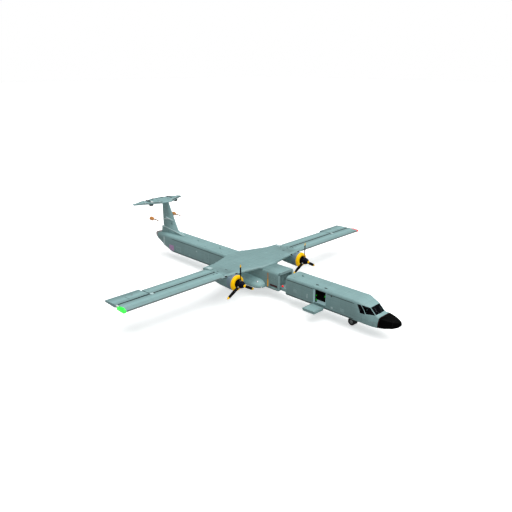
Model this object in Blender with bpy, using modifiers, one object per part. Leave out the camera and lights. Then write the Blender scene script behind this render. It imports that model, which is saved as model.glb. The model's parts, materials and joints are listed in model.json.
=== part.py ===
"""Twin-propeller military transport plane, parked on its gear.

Metres. +X points to the nose, +Y to port and +Z up. The ground is Z = 0 and the middle of the
plane's length is X = 0.
"""

import math

import bmesh
import bpy
from mathutils import Matrix, Vector

for old in list(bpy.data.objects):
    bpy.data.objects.remove(old, do_unlink=True)

GAP = 0.0003            # left between solids that touch
CLEAR = 0.012           # left round a moving panel
PAST_END = 0.5          # how far a hollow's cutter runs past an open end

# Fuselage tube
BELLY = 1.20            # underside above the ground
HALF_WIDTH = 1.25
ROOF = 3.28
WALL = 0.28
FLOOR = BELLY + WALL
ROOF_RADIUS = 0.32
BELLY_RADIUS = 0.10

# Where the sections of the fuselage meet, from nose to tail
X_DECK_END = 17.50      # the black nose cone starts here
X_BREAK = 15.15         # the roof starts to slope to the windscreen
X_NOSE = 14.90
X_BAY_FRONT = 6.19      # the open bay, with no roof and no side walls
X_BAY_REAR = 4.97
X_CENTRE_REAR = -3.60
X_RAMP = -13.90         # the underside starts to rise here
X_TAIL_END = -17.40

# Wing
WING_BOTTOM = 3.06
WING_TOP = 3.46
X_FIXED_REAR = 0.12     # rear face of the fixed outer wing
X_LEADING = 1.77        # leading edge of the outer wing
Z_WING = 3.27           # middle height of the outer wing
Y_CENTRE_END = 5.90     # the centre wing ends outside the engine
Y_WING_END = 17.93
HINGE_X = -0.14         # hinge of the flaps and ailerons
HINGE_Z = Z_WING
HINGE_RADIUS = 0.16     # round front of a flap
FLAP_REAR = -1.46
AILERON_REAR = -1.84
Y_FLAP = (5.95, 14.16)
Y_RIB = (14.21, 14.27)  # bracket between the flap and the aileron
Y_AILERON = (14.32, 18.02)

# Engines and propellers
ENGINE_Y = 5.16
ENGINE_Z = 2.69
PROP_X = 3.48
PROP_RADIUS = 2.19
COWL_RADIUS = 0.87
COWL_REAR = 2.46
COWL_FRONT = 2.98
HUB_REAR = 3.02

# Landing gear
NOSE_WHEEL_X = 14.02
NOSE_WHEEL_RADIUS = 0.41
MAIN_WHEEL_X = -0.95
MAIN_WHEEL_Y = 1.72
MAIN_WHEEL_RADIUS = 0.50

# Entry door, starboard, lowered as a step
DOOR_X = (9.91, 11.48)
DOOR_Z = (FLOOR + 0.02, 3.00)
DOOR_THICKNESS = 0.16
DOOR_HINGE_Y = -1.27
DOOR_HINGE_Z = 1.30
DOOR_BARREL = -HALF_WIDTH - DOOR_HINGE_Y - GAP

# Tail
FIN_REAR = -17.20
RUDDER_HINGE_X = -16.45
RUDDER_Z = (3.98, 7.14)
FIN_BASE_TOP = 3.92
TAIL_Z = 7.36           # middle height of the tailplane at the fin
TAIL_DROP = 0.20        # how much lower its tips are
PROBE_Y = 1.80
PROBE_Z = 5.18
PROBE_X = -17.24

PARTS = bpy.data.collections.new("transport_plane")
CUTTERS = bpy.data.collections.new("cutters")
bpy.context.scene.collection.children.link(PARTS)
bpy.context.scene.collection.children.link(CUTTERS)


def paint(name, colour, roughness, metallic=0.0):
    """A Principled material of one colour."""
    made = bpy.data.materials.new(name)
    made.use_nodes = True
    shader = made.node_tree.nodes["Principled BSDF"]
    shader.inputs["Base Color"].default_value = (*colour, 1.0)
    shader.inputs["Roughness"].default_value = roughness
    shader.inputs["Metallic"].default_value = metallic
    return made


SKIN = paint("grey_green_skin", (0.25, 0.40, 0.41), 0.55)
BLACK = paint("black_nose", (0.008, 0.008, 0.008), 0.45)
GLASS = paint("dark_glass", (0.005, 0.005, 0.006), 0.08)
YELLOW = paint("yellow_cowl", (0.95, 0.60, 0.02), 0.35)
BLADE = paint("black_blade", (0.02, 0.02, 0.022), 0.4)
RUBBER = paint("tyre_rubber", (0.02, 0.02, 0.02), 0.85)
STEEL = paint("gear_steel", (0.45, 0.47, 0.48), 0.4, 0.8)
ORANGE = paint("orange_probe", (0.80, 0.30, 0.06), 0.5)
GREEN_LAMP = paint("green_lamp", (0.05, 0.9, 0.08), 0.3)
RED_LAMP = paint("red_lamp", (0.85, 0.03, 0.03), 0.3)
TAIL_GREY = paint("tail_cap_grey", (0.36, 0.33, 0.32), 0.6)


def add(name, mesh, material, cutter=False):
    """Make an object of a mesh, in the parts or, hidden, in the cutters."""
    made = bpy.data.objects.new(name, mesh)
    if cutter:
        CUTTERS.objects.link(made)
        made.hide_render = True
        made.display_type = "WIRE"
    else:
        PARTS.objects.link(made)
        mesh.materials.append(material)
    return made


def mesh_from(bm, name):
    bmesh.ops.recalc_face_normals(bm, faces=bm.faces)
    mesh = bpy.data.meshes.new(name)
    bm.to_mesh(mesh)
    bm.free()
    return mesh


def box(name, x, y, z, material=None, bevel=0.0):
    """A box between pairs of limits. Without a material it is a cutter."""
    bm = bmesh.new()
    bmesh.ops.create_cube(bm, size=1.0)
    size = Vector((abs(x[1] - x[0]), abs(y[1] - y[0]), abs(z[1] - z[0])))
    centre = Vector((sum(x) / 2, sum(y) / 2, sum(z) / 2))
    bmesh.ops.scale(bm, vec=size, verts=bm.verts)
    bmesh.ops.translate(bm, vec=centre, verts=bm.verts)
    made = add(name, mesh_from(bm, name), material, cutter=material is None)
    if bevel:
        edge = made.modifiers.new("bevel", "BEVEL")
        edge.width = bevel
        edge.segments = 2
    return made


def cylinder(name, radius, start, end, material=None, sides=24, end_radius=None):
    """A cylinder or cone between two points. Without a material it is a cutter."""
    start = Vector(start)
    end = Vector(end)
    bm = bmesh.new()
    bmesh.ops.create_cone(bm, cap_ends=True, segments=sides, radius1=radius,
                          radius2=radius if end_radius is None else end_radius,
                          depth=(end - start).length)
    turn = Vector((0, 0, 1)).rotation_difference(end - start).to_matrix().to_4x4()
    bmesh.ops.transform(bm, matrix=Matrix.Translation((start + end) / 2) @ turn, verts=bm.verts)
    made = add(name, mesh_from(bm, name), material, cutter=material is None)
    made.data.shade_smooth()
    made.data.set_sharp_from_angle(angle=math.radians(40))
    return made


def loft(name, rings, material=None):
    """A closed solid through rings of equal point counts, flat at both ends."""
    bm = bmesh.new()
    rows = [[bm.verts.new(point) for point in ring] for ring in rings]
    count = len(rows[0])
    for row, after in zip(rows, rows[1:]):
        for i in range(count):
            j = (i + 1) % count
            bm.faces.new((row[i], row[j], after[j], after[i]))
    bmesh.ops.triangulate(bm, faces=bm.faces)
    bm.faces.new(rows[0])
    bm.faces.new(rows[-1])
    made = add(name, mesh_from(bm, name), material, cutter=material is None)
    made.data.shade_smooth()
    made.data.set_sharp_from_angle(angle=math.radians(32))
    return made


def boolean(target, other, operation="DIFFERENCE", solver="EXACT"):
    step = target.modifiers.new(operation.lower(), "BOOLEAN")
    step.operation = operation
    step.object = other
    step.solver = solver
    return target


def join(target, *pieces):
    """Fuse helper pieces, which stay hidden, to a target."""
    for piece in pieces:
        boolean(target, piece, "UNION")
    return target


def mirrored(side, points):
    return [(x, side * y, z) for x, y, z in points]


def arc(centre_y, centre_z, radius, start, end, steps):
    """Points (y, z) on an arc between two angles in degrees."""
    points = []
    for i in range(steps + 1):
        angle = math.radians(start + (end - start) * i / steps)
        points.append((centre_y + radius * math.cos(angle), centre_z + radius * math.sin(angle)))
    return points


# A fuselage station: x, belly height, belly half-width, belly radius, shoulder half-width and
# height, top half-width, top height, top radius
def tube_station(x):
    return (x, BELLY, HALF_WIDTH, BELLY_RADIUS, HALF_WIDTH, 2.20, HALF_WIDTH, ROOF, ROOF_RADIUS)


def body_ring(station, inset=0.0):
    """The closed outline of a fuselage station, or the same outline moved inwards."""
    x, z_low, w_low, r_low, w_mid, z_mid, w_top, z_top, r_top = station
    z_low += inset
    z_top -= inset
    w_low -= inset
    w_mid -= inset
    w_top -= inset
    r_low = max(r_low - inset, 0.02)
    r_top = max(r_top - inset, 0.05)
    half = arc(w_low - r_low, z_low + r_low, r_low, -90, 0, 2)
    half += [(w_mid, z_mid)]
    half += arc(w_top - r_top, z_top - r_top, r_top, 0, 90, 4)
    return [(x, y, z) for y, z in half] + [(x, -y, z) for y, z in reversed(half)]


def shell(name, stations, material, open_front=True, open_rear=True, wall=WALL):
    """A hollow length of fuselage from rear to front, open at the ends that say so."""
    outer = loft(name, [body_ring(station) for station in stations], material)
    inner = [list(station) for station in stations]
    if open_rear:
        inner.insert(0, [inner[0][0] - PAST_END, *inner[0][1:]])
    else:
        inner[0][0] += wall
    if open_front:
        inner.append([inner[-1][0] + PAST_END, *inner[-1][1:]])
    else:
        inner[-1][0] -= wall
    core = loft(name + "_core", [body_ring(station, wall) for station in inner])
    return boolean(outer, core)


def quad_prism(name, corners, outward, inward, shrink=0.0):
    """A prism on four corners near a plane, reaching out of the fuselage and into it."""
    corners = [Vector(corner) for corner in corners]
    centre = sum(corners, Vector()) / 4
    normal = (corners[2] - corners[0]).cross(corners[3] - corners[1]).normalized()
    if normal.dot(centre - Vector((centre.x - 0.6, 0, 2.2))) < 0:
        normal.negate()
    flat = [corner - normal * normal.dot(corner - centre) for corner in corners]
    flat = [corner - (corner - centre).normalized() * shrink for corner in flat]
    return loft(name, [[c - normal * inward for c in flat], [c + normal * outward for c in flat]])


# Cockpit
# columns as body_ring: x, belly z, belly w, belly r, shoulder w, z, top w, z, r
COCKPIT = (
    (X_NOSE, BELLY, HALF_WIDTH, BELLY_RADIUS, HALF_WIDTH, 2.20, HALF_WIDTH, ROOF, ROOF_RADIUS),
    (X_BREAK, BELLY, HALF_WIDTH, BELLY_RADIUS, HALF_WIDTH, 2.20, HALF_WIDTH, ROOF, ROOF_RADIUS),
    (16.40, BELLY, HALF_WIDTH, BELLY_RADIUS, 1.21, 2.16, 0.84, 2.88, 0.14),
    (17.05, BELLY, 1.22, BELLY_RADIUS, 1.12, 1.95, 0.86, 2.24, 0.12),
    (X_DECK_END, 1.22, 1.16, 0.14, 1.10, 1.80, 1.00, 2.21, 0.24),
)
COCKPIT_WALL = 0.16

# corners of each pane on the starboard side or in front: lower rear, lower front, upper front,
# upper rear
WINDSCREEN = ((17.03, -0.71, 2.26), (17.03, 0.71, 2.26), (16.42, 0.71, 2.86), (16.42, -0.71, 2.86))
PANE_FRONT = ((16.22, -1.185, 2.26), (17.02, -0.80, 2.25), (16.42, -0.79, 2.83), (15.60, -1.075, 2.98))
PANE_REAR = ((15.56, -1.24, 2.19), (16.15, -1.20, 2.20), (15.52, -1.09, 2.98), (15.20, -1.19, 2.98))
PANE_SHRINK = 0.0006
# How deep each pane reaches into the wall
FRONT_PANE_DEPTH = 0.06
REAR_PANE_DEPTH = 0.14


def cockpit_shell(name, material):
    return shell(name, COCKPIT, material, open_front=False, wall=COCKPIT_WALL)


nose = cockpit_shell("fuselage_nose", SKIN)
panes = [("windscreen", WINDSCREEN, FRONT_PANE_DEPTH)]
for side, word in ((1, "port"), (-1, "starboard")):
    panes.append((f"side_window_front_{word}", mirrored(-side, PANE_FRONT), FRONT_PANE_DEPTH))
    panes.append((f"side_window_rear_{word}", mirrored(-side, PANE_REAR), REAR_PANE_DEPTH))
for pane_name, corners, depth in panes:
    boolean(nose, quad_prism(pane_name + "_cut", corners, 0.35, 0.35))
    pane = cockpit_shell(pane_name, GLASS)
    boolean(pane, quad_prism(pane_name + "_keep", corners, 0.35, depth, PANE_SHRINK), "INTERSECT")

# Black nose cone: x, belly z, belly w, belly r, shoulder w, z, top w, z, r
CONE = (
    (X_DECK_END + GAP, 1.22, 1.16, 0.14, 1.10, 1.80, 1.00, 2.21, 0.24),
    (18.10, 1.24, 0.94, 0.16, 0.92, 1.78, 0.84, 2.17, 0.22),
    (18.75, 1.34, 0.62, 0.16, 0.62, 1.76, 0.56, 2.11, 0.18),
    (19.16, 1.52, 0.30, 0.10, 0.31, 1.78, 0.28, 2.04, 0.11),
    (19.32, 1.68, 0.11, 0.05, 0.12, 1.82, 0.11, 1.96, 0.05),
)
loft("nose_cone", [body_ring(station) for station in CONE], BLACK)

# Forward fuselage with the entry door's opening
front = shell("fuselage_front", [tube_station(X_BAY_FRONT), tube_station(X_NOSE - GAP)], SKIN)
boolean(front, box("door_cut", DOOR_X, (-1.6, -0.8), DOOR_Z))

# Keel that carries the forward fuselage across the open bay
BRIDGE_HALF_WIDTH = 0.77
box("keel_bridge", (X_BAY_REAR + GAP, X_BAY_FRONT - GAP), (-BRIDGE_HALF_WIDTH, BRIDGE_HALF_WIDTH),
    (BELLY + 0.02, 1.60), SKIN, bevel=0.03)

# Centre fuselage, its roof cut out for the wing
centre = shell("fuselage_centre", [tube_station(X_CENTRE_REAR), tube_station(X_BAY_REAR)], SKIN)
WING_ROOT_FRONT = 2.62
WING_ROOT_REAR = -3.25
boolean(centre, box("wing_seat_cut", (WING_ROOT_REAR - GAP, WING_ROOT_FRONT + GAP), (-2, 2),
                    (WING_BOTTOM - GAP, 4)))

# Bulkhead that closes the hold's front end, set back from the open bay
BULKHEAD_X = (4.50, 4.58)
loft("hold_bulkhead", [body_ring(tube_station(x), WALL + PANE_SHRINK) for x in BULKHEAD_X], SKIN)

# Rear fuselage
shell("fuselage_rear", [tube_station(X_RAMP), tube_station(X_CENTRE_REAR - GAP)], SKIN)

# Tail section with its rising underside, open below where the ramp shuts
TAIL_BELLY = 2.34
TAIL = (
    (X_TAIL_END, TAIL_BELLY, 0.96, 0.08, 0.97, 2.70, 0.96, 3.06, 0.26),
    (-15.40, BELLY + (TAIL_BELLY - BELLY) * (X_RAMP + 15.40) / (X_RAMP - X_TAIL_END), HALF_WIDTH,
     BELLY_RADIUS, HALF_WIDTH, 2.45, HALF_WIDTH, ROOF, ROOF_RADIUS),
    (X_RAMP - GAP, BELLY, HALF_WIDTH, BELLY_RADIUS, HALF_WIDTH, 2.20, HALF_WIDTH, ROOF, ROOF_RADIUS),
)
RAMP_SLOPE = (TAIL_BELLY - BELLY) / (X_RAMP - X_TAIL_END)
RAMP_X = (-17.12, -13.99)
RAMP_REAR_LEAN = 0.10   # its rear edge's top lies this far forward, to clear the frame as it drops
RAMP_HALF_WIDTH = 0.84
RAMP_THICKNESS = 0.24
RAMP_HINGE_X = -13.96
RAMP_HINGE_Z = BELLY + 0.075
RAMP_BARREL = X_RAMP - RAMP_HINGE_X - GAP


def underside(x):
    """Height of the tail's rising underside."""
    return BELLY + (X_RAMP - x) * RAMP_SLOPE


def ramp_prism(name, x, half_width, low, high, material=None, lean=0.0):
    """A slab that follows the underside between two places along X."""
    rings = []
    for end, forward in zip(x, (lean, 0.0)):
        ring = []
        for y, z, top in ((-half_width, low, 0), (half_width, low, 0), (half_width, high, 1),
                          (-half_width, high, 1)):
            here = end + top * forward
            ring.append((here, y, underside(here) + z))
        rings.append(ring)
    return loft(name, rings, material)


tail = shell("fuselage_tail", TAIL, SKIN, open_rear=False, wall=0.20)
boolean(tail, ramp_prism("ramp_cut", (RAMP_X[0] - CLEAR, X_RAMP + 0.5), RAMP_HALF_WIDTH + CLEAR,
                         -0.5, RAMP_THICKNESS + 0.08))
ramp = ramp_prism("cargo_ramp", RAMP_X, RAMP_HALF_WIDTH, 0.0, RAMP_THICKNESS, SKIN, RAMP_REAR_LEAN)
join(ramp, cylinder("ramp_barrel", RAMP_BARREL, (RAMP_HINGE_X, -RAMP_HALF_WIDTH, RAMP_HINGE_Z),
                    (RAMP_HINGE_X, RAMP_HALF_WIDTH, RAMP_HINGE_Z)))

# Grey cap at the very end: x, belly z, belly w, belly r, shoulder w, z, top w, z, r
CAP = (
    (-18.62, 2.52, 0.30, 0.05, 0.31, 2.66, 0.30, 2.82, 0.08),
    (-18.20, 2.42, 0.62, 0.07, 0.63, 2.70, 0.62, 2.96, 0.18),
    (X_TAIL_END - GAP, TAIL_BELLY, 0.96, 0.08, 0.97, 2.70, 0.96, 3.06, 0.26),
)
loft("tail_cap", [body_ring(station) for station in CAP], TAIL_GREY)

# Entry door, lowered outwards on a hinge below the sill
lowered = Matrix.Translation((0, DOOR_HINGE_Y, DOOR_HINGE_Z)) @ Matrix.Rotation(math.pi / 2, 4, "X")
DOOR_LOW = DOOR_Z[0] + CLEAR - DOOR_HINGE_Z
DOOR_HIGH = DOOR_Z[1] - CLEAR - DOOR_HINGE_Z
DOOR_SKIN = -HALF_WIDTH - DOOR_HINGE_Y
door_x = (DOOR_X[0] + CLEAR, DOOR_X[1] - CLEAR)
door = box("entry_door", door_x, (DOOR_SKIN, DOOR_SKIN + DOOR_THICKNESS), (DOOR_LOW, DOOR_HIGH), SKIN)
strap = box("door_strap", (door_x[0] + 0.15, door_x[1] - 0.15), (-0.015, DOOR_SKIN - GAP),
            (0.0, DOOR_LOW + 0.30))
pad = box("door_pad", (door_x[0] + 0.20, door_x[1] - 0.20), (-0.008, DOOR_SKIN + 0.03),
          (DOOR_LOW + 0.06, DOOR_LOW + 0.24))
barrel = cylinder("door_barrel", DOOR_BARREL, (door_x[0] + 0.12, 0, 0), (door_x[1] - 0.12, 0, 0))
for piece in (door, strap, pad, barrel):
    piece.matrix_world = lowered
join(door, strap, pad, barrel)


def wing_ring(y, x_front, x_rear, z_low, z_high, nose_depth, rear_height, z_rear):
    """An aerofoil outline at y with an elliptical front and a thin rear edge."""
    z_mid = (z_low + z_high) / 2
    half = (z_high - z_low) / 2
    points = [(x_rear, y, z_rear - rear_height / 2)]
    for angle in range(-90, 91, 30):
        points.append((x_front - nose_depth + nose_depth * math.cos(math.radians(angle)), y,
                       z_mid + half * math.sin(math.radians(angle))))
    points.append((x_rear, y, z_rear + rear_height / 2))
    return points


# Centre wing on top of the fuselage: y, front x, rear x
CENTRE_HALF = ((Y_CENTRE_END, 1.77, -1.93), (4.20, 1.92, -2.05), (1.40, 2.40, -3.05),
               (1.27, WING_ROOT_FRONT, WING_ROOT_REAR))
centre_rows = [(y, a, b) for y, a, b in CENTRE_HALF]
centre_rows += [(-y, a, b) for y, a, b in reversed(CENTRE_HALF)]
loft("wing_centre", [wing_ring(y, a, b, WING_BOTTOM, WING_TOP, 0.32, 0.22, WING_BOTTOM + 0.20)
                     for y, a, b in centre_rows], SKIN)

# Fixed outer wings, each with a bracket between its flap and its aileron
PANEL_LOW = Z_WING - 0.19
PANEL_HIGH = Z_WING + 0.20


def outer_wing(side, word):
    rings = []
    for y in (Y_CENTRE_END + GAP, Y_WING_END):
        rings.append(wing_ring(side * y, X_LEADING, X_FIXED_REAR, PANEL_LOW, PANEL_HIGH, 0.85, 0.34,
                               Z_WING))
    wing = loft(f"wing_outer_{word}", rings, SKIN)
    rib = box(f"rib_{word}", (X_FIXED_REAR + 0.1, HINGE_X - 0.12), [side * y for y in Y_RIB],
              (HINGE_Z - 0.12, HINGE_Z + 0.12))
    return join(wing, rib)


def wing_flap(name, side, span, x_rear, pins):
    """A flap or aileron: a round front on its hinge line and a thin rear edge."""
    rings = []
    for y in span:
        ring = [(x_rear, side * y, HINGE_Z - 0.02)]
        for angle in range(-90, 91, 30):
            ring.append((HINGE_X + HINGE_RADIUS * math.cos(math.radians(angle)), side * y,
                         HINGE_Z + HINGE_RADIUS * math.sin(math.radians(angle))))
        ring.append((x_rear, side * y, HINGE_Z + 0.05))
        rings.append(ring)
    flap = loft(name, rings, SKIN)
    for number, (start, end) in enumerate(pins):
        join(flap, cylinder(f"{name}_pin_{number}", 0.035, (HINGE_X, side * start, HINGE_Z),
                            (HINGE_X, side * end, HINGE_Z), sides=12))
    return flap


for side, word in ((1, "port"), (-1, "starboard")):
    outer_wing(side, word)
    wing_flap(f"flap_{word}", side, Y_FLAP, FLAP_REAR,
              ((Y_CENTRE_END + GAP, Y_FLAP[0] + 0.1), (Y_FLAP[1] - 0.1, Y_RIB[0] - GAP)))
    wing_flap(f"aileron_{word}", side, Y_AILERON, AILERON_REAR,
              ((Y_RIB[1] + GAP, Y_AILERON[0] + 0.1),))

# Position lamps at the wing tips
LAMP_X = (0.50, 1.70)
LAMP_Y = (Y_WING_END + GAP, Y_WING_END + 0.30)
for side, word, glow in ((1, "port", RED_LAMP), (-1, "starboard", GREEN_LAMP)):
    box(f"tip_lamp_{word}", LAMP_X, [side * y for y in LAMP_Y], (Z_WING - 0.14, Z_WING + 0.14), glow,
        bevel=0.05)


def ring_circle(x, centre_y, centre_z, radius, sides=24):
    points = []
    for i in range(sides):
        angle = 2 * math.pi * i / sides
        points.append((x, centre_y + radius * math.sin(angle), centre_z + radius * math.cos(angle)))
    return points


def turned(name, profile, y, z, material, closed=False, sides=32):
    """A solid turned about a line along X. A closed profile makes a ring."""
    bm = bmesh.new()
    rows = []
    for x, radius in profile:
        rows.append([bm.verts.new(point) for point in ring_circle(x, y, z, radius, sides)])
    pairs = list(zip(rows, rows[1:]))
    if closed:
        pairs.append((rows[-1], rows[0]))
    else:
        bm.faces.new(rows[0])
        bm.faces.new(rows[-1])
    for row, after in pairs:
        for i in range(sides):
            j = (i + 1) % sides
            bm.faces.new((row[i], row[j], after[j], after[i]))
    made = add(name, mesh_from(bm, name), material, cutter=material is None)
    made.data.shade_smooth()
    made.data.set_sharp_from_angle(angle=math.radians(40))
    return made


# Nacelle: x, half-width, lowest z, highest z, how square it is
NACELLE = (
    (-1.93, 0.40, 2.82, WING_BOTTOM - 0.001, 0.85),
    (-0.90, 0.56, 2.20, WING_BOTTOM - 0.001, 0.75),
    (0.60, 0.62, 1.98, WING_BOTTOM - 0.001, 0.70),
    (1.50, 0.66, 1.92, 3.30, 0.62),
    (COWL_REAR - GAP, 0.80, 1.86, 3.50, 0.30),
)


def squarish_ring(x, centre_y, half, z_low, z_high, square, sides=24):
    """A ring between an ellipse and a box."""
    power = 1.0 - 0.72 * square
    points = []
    for i in range(sides):
        angle = 2 * math.pi * i / sides
        s = math.sin(angle)
        c = math.cos(angle)
        points.append((x, centre_y + half * math.copysign(abs(s) ** power, s),
                       (z_low + z_high) / 2 + (z_high - z_low) / 2 * math.copysign(abs(c) ** power, c)))
    return points


BLADES = 3
# Blade: distance from the hub's axis, chord, thickness, twist in degrees
BLADE_ROWS = ((0.20, 0.18, 0.13, 50), (0.55, 0.30, 0.08, 36), (1.20, 0.36, 0.055, 22),
              (1.90, 0.32, 0.035, 16), (PROP_RADIUS, 0.19, 0.02, 14))


def blade_ring(distance, chord, thickness, twist, sides=8):
    turn = math.radians(twist)
    points = []
    for i in range(sides):
        angle = 2 * math.pi * i / sides
        along = chord / 2 * math.cos(angle)
        across = thickness / 2 * math.sin(angle)
        points.append((across * math.cos(turn) - along * math.sin(turn),
                       along * math.cos(turn) + across * math.sin(turn), distance))
    return points


# Spinner and hub, turned: x from the propeller's plane, radius
SPINNER = ((HUB_REAR - PROP_X, 0.30), (-0.30, 0.40), (-0.05, 0.40), (0.22, 0.30), (0.42, 0.16),
           (0.50, 0.05))


def engine(side, word):
    y = side * ENGINE_Y
    rings = [squarish_ring(x, y, w, low, high, square) for x, w, low, high, square in NACELLE]
    nacelle = loft(f"nacelle_{word}", rings, SKIN)
    # The wing is let into the nacelle, and the propeller's shaft stands out of it
    cut = [wing_ring(y + way * 1.2, X_LEADING + 0.16 + GAP - way * side * 0.08, -2.5,
                     WING_BOTTOM - GAP, WING_TOP + 0.2, 0.10, 0.60, WING_BOTTOM + 0.30 - GAP)
           for way in (-1, 1)]
    boolean(nacelle, loft(f"wing_slot_{word}", cut))
    join(nacelle, cylinder(f"shaft_{word}", 0.20, (COWL_REAR - 0.3, y, ENGINE_Z),
                           (HUB_REAR - GAP, y, ENGINE_Z)))

    # Yellow cowl ring with a round lip, turned: x, radius
    lip = ((COWL_REAR, 0.46), (2.80, 0.46), (2.93, 0.50), (COWL_FRONT, 0.60), (2.95, 0.72),
           (2.84, 0.82), (2.66, COWL_RADIUS), (COWL_REAR, COWL_RADIUS))
    turned(f"cowl_ring_{word}", lip, y, ENGINE_Z, YELLOW, closed=True)

    propeller = turned(f"propeller_{word}", [(PROP_X + x, r) for x, r in SPINNER], y, ENGINE_Z, BLADE)
    for number in range(BLADES):
        blade = loft(f"blade_{word}_{number}", [blade_ring(*row) for row in BLADE_ROWS])
        blade.matrix_world = (Matrix.Translation((PROP_X - 0.18, y, ENGINE_Z))
                              @ Matrix.Rotation(2 * math.pi * number / BLADES, 4, "X"))
        join(propeller, blade)


for side, word in ((1, "port"), (-1, "starboard")):
    engine(side, word)


# Sponsons on the fuselage sides, open below for the main wheels
# x, outer y, lowest z, highest z at the fuselage, highest z outside
SPONSON = (
    (-3.60, 1.42, 1.45, 1.70, 1.55),
    (-2.60, 2.00, 1.22, 1.98, 1.60),
    (-1.00, 2.24, 1.12, 2.12, 1.62),
    (2.30, 2.20, 1.12, 2.00, 1.58),
    (2.72, 2.02, 1.14, 1.90, 1.52),
    (3.02, 1.72, 1.18, 1.64, 1.42),
    (3.14, 1.40, 1.24, 1.42, 1.34),
)
WELL_X = (MAIN_WHEEL_X - 0.70, MAIN_WHEEL_X + 0.70)
WELL_Y = (HALF_WIDTH + 0.06, 2.16)
WELL_TOP = 1.58


def sponson(side, word):
    rings = []
    for x, outer, low, high, high_out in SPONSON:
        inner = HALF_WIDTH + GAP
        rings.append(mirrored(side, ((x, inner, low), (x, outer - 0.10, low), (x, outer, low + 0.10),
                                     (x, outer, high_out - 0.12), (x, outer - 0.12, high_out),
                                     (x, (inner + outer) / 2, (high + high_out) / 2 + 0.05),
                                     (x, inner, high))))
    made = loft(f"sponson_{word}", rings, SKIN)
    boolean(made, box(f"wheel_well_{word}", WELL_X, [side * y for y in WELL_Y], (0.5, WELL_TOP)))
    return made


WHEEL_SIDES = 28


def turned_y(name, profile, x, y, z, material=None):
    """A solid turned about a line along Y from a profile of (y, radius), with a flat side down."""
    made = turned(name, profile, 0, 0, material, sides=WHEEL_SIDES)
    made.matrix_world = (Matrix.Translation((x, y, z)) @ Matrix.Rotation(math.pi / 2, 4, "Z")
                         @ Matrix.Rotation(math.pi / WHEEL_SIDES, 4, "X"))
    return made


def twin_wheels(name, x, y, radius, spacing, half, axle):
    """Two wheels and their axle, which turn together."""
    corner = radius / math.cos(math.pi / WHEEL_SIDES)
    profile = ((-half, 0.12), (-half, radius * 0.55), (-half + 0.02, radius * 0.60),
               (-half, radius - 0.09), (-half + 0.06, corner), (half - 0.06, corner),
               (half, radius - 0.09), (half - 0.02, radius * 0.60), (half, radius * 0.55),
               (half, 0.12))
    wheel = turned_y(name, profile, x, y + spacing, radius, RUBBER)
    other = turned_y(name + "_other", profile, x, y - spacing, radius)
    rod = cylinder(name + "_rod", axle, (x, y - spacing, radius), (x, y + spacing, radius))
    return join(wheel, rod, other)


MAIN_AXLE = 0.07
NOSE_AXLE = 0.05
for side, word in ((1, "port"), (-1, "starboard")):
    sponson(side, word)
    y = side * MAIN_WHEEL_Y
    twin_wheels(f"main_wheels_{word}", MAIN_WHEEL_X, y, MAIN_WHEEL_RADIUS, 0.26, 0.13, MAIN_AXLE)
    leg = cylinder(f"main_leg_{word}", 0.09, (MAIN_WHEEL_X, y, MAIN_WHEEL_RADIUS + MAIN_AXLE + 0.10),
                   (MAIN_WHEEL_X, y, WELL_TOP - GAP), STEEL)
    join(leg, box(f"main_saddle_{word}", (MAIN_WHEEL_X - 0.10, MAIN_WHEEL_X + 0.10),
                  (y - 0.11, y + 0.11),
                  (MAIN_WHEEL_RADIUS + MAIN_AXLE + GAP, MAIN_WHEEL_RADIUS + MAIN_AXLE + 0.16)))

# Nose gear: a fixed strut, a steering fork and twin wheels
STEER_Z = 1.02
cylinder("nose_strut", 0.085, (NOSE_WHEEL_X, 0, STEER_Z + GAP), (NOSE_WHEEL_X, 0, BELLY - GAP), STEEL)
fork = cylinder("nose_fork", 0.065, (NOSE_WHEEL_X, 0, NOSE_WHEEL_RADIUS + 0.12),
                (NOSE_WHEEL_X, 0, STEER_Z), STEEL)
join(fork, box("nose_saddle", (NOSE_WHEEL_X - 0.08, NOSE_WHEEL_X + 0.08), (-0.075, 0.075),
               (NOSE_WHEEL_RADIUS + NOSE_AXLE + GAP, NOSE_WHEEL_RADIUS + NOSE_AXLE + 0.14)))
twin_wheels("nose_wheels", NOSE_WHEEL_X, 0, NOSE_WHEEL_RADIUS, 0.20, 0.11, NOSE_AXLE)

# Fin: a swept upright with a wide fairing at its foot
FIN_FOOT = ROOF + GAP
FIN_HALF = 0.13


FIN_WIDEST = 0.55       # share of the depth from the rear edge to the widest line


def fin_ring(z, x_front, x_rear, half):
    widest = x_rear + (x_front - x_rear) * FIN_WIDEST
    return [(x_rear, -half * 0.8, z), (widest, -half, z), (x_front - 0.12, -half * 0.55, z),
            (x_front, 0, z), (x_front - 0.12, half * 0.55, z), (widest, half, z), (x_rear, half * 0.8, z)]


RUDDER_RADIUS = 0.10
FIN_FIXED_REAR = RUDDER_HINGE_X + RUDDER_RADIUS + 0.02
TAIL_THICK = 0.26
TAIL_UNDER = TAIL_Z - TAIL_THICK / 2
# Lowest and highest section of the fin: z, front x
FIN_LOW = (3.50, -13.75)
FIN_HIGH = (TAIL_UNDER - GAP, -15.78)
fin = loft("fin", [fin_ring(z, x_front, FIN_FIXED_REAR, FIN_HALF) for z, x_front in (FIN_LOW, FIN_HIGH)],
           SKIN)
# The foot fairing: x, half-width, top z
FOOT = ((FIN_REAR, 0.34, FIN_BASE_TOP), (-16.20, 0.34, FIN_BASE_TOP), (-15.40, 0.34, 3.84),
        (-13.80, 0.24, 3.58), (-12.75, 0.05, FIN_FOOT + 0.03))
# The roof drops behind this point, and the fairing's underside follows it
ROOF_DROP_X = TAIL[1][0]


def roof_at(x):
    if x >= ROOF_DROP_X:
        return ROOF
    share = (ROOF_DROP_X - x) / (ROOF_DROP_X - X_TAIL_END)
    return ROOF + share * (TAIL[0][7] - ROOF)


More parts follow.
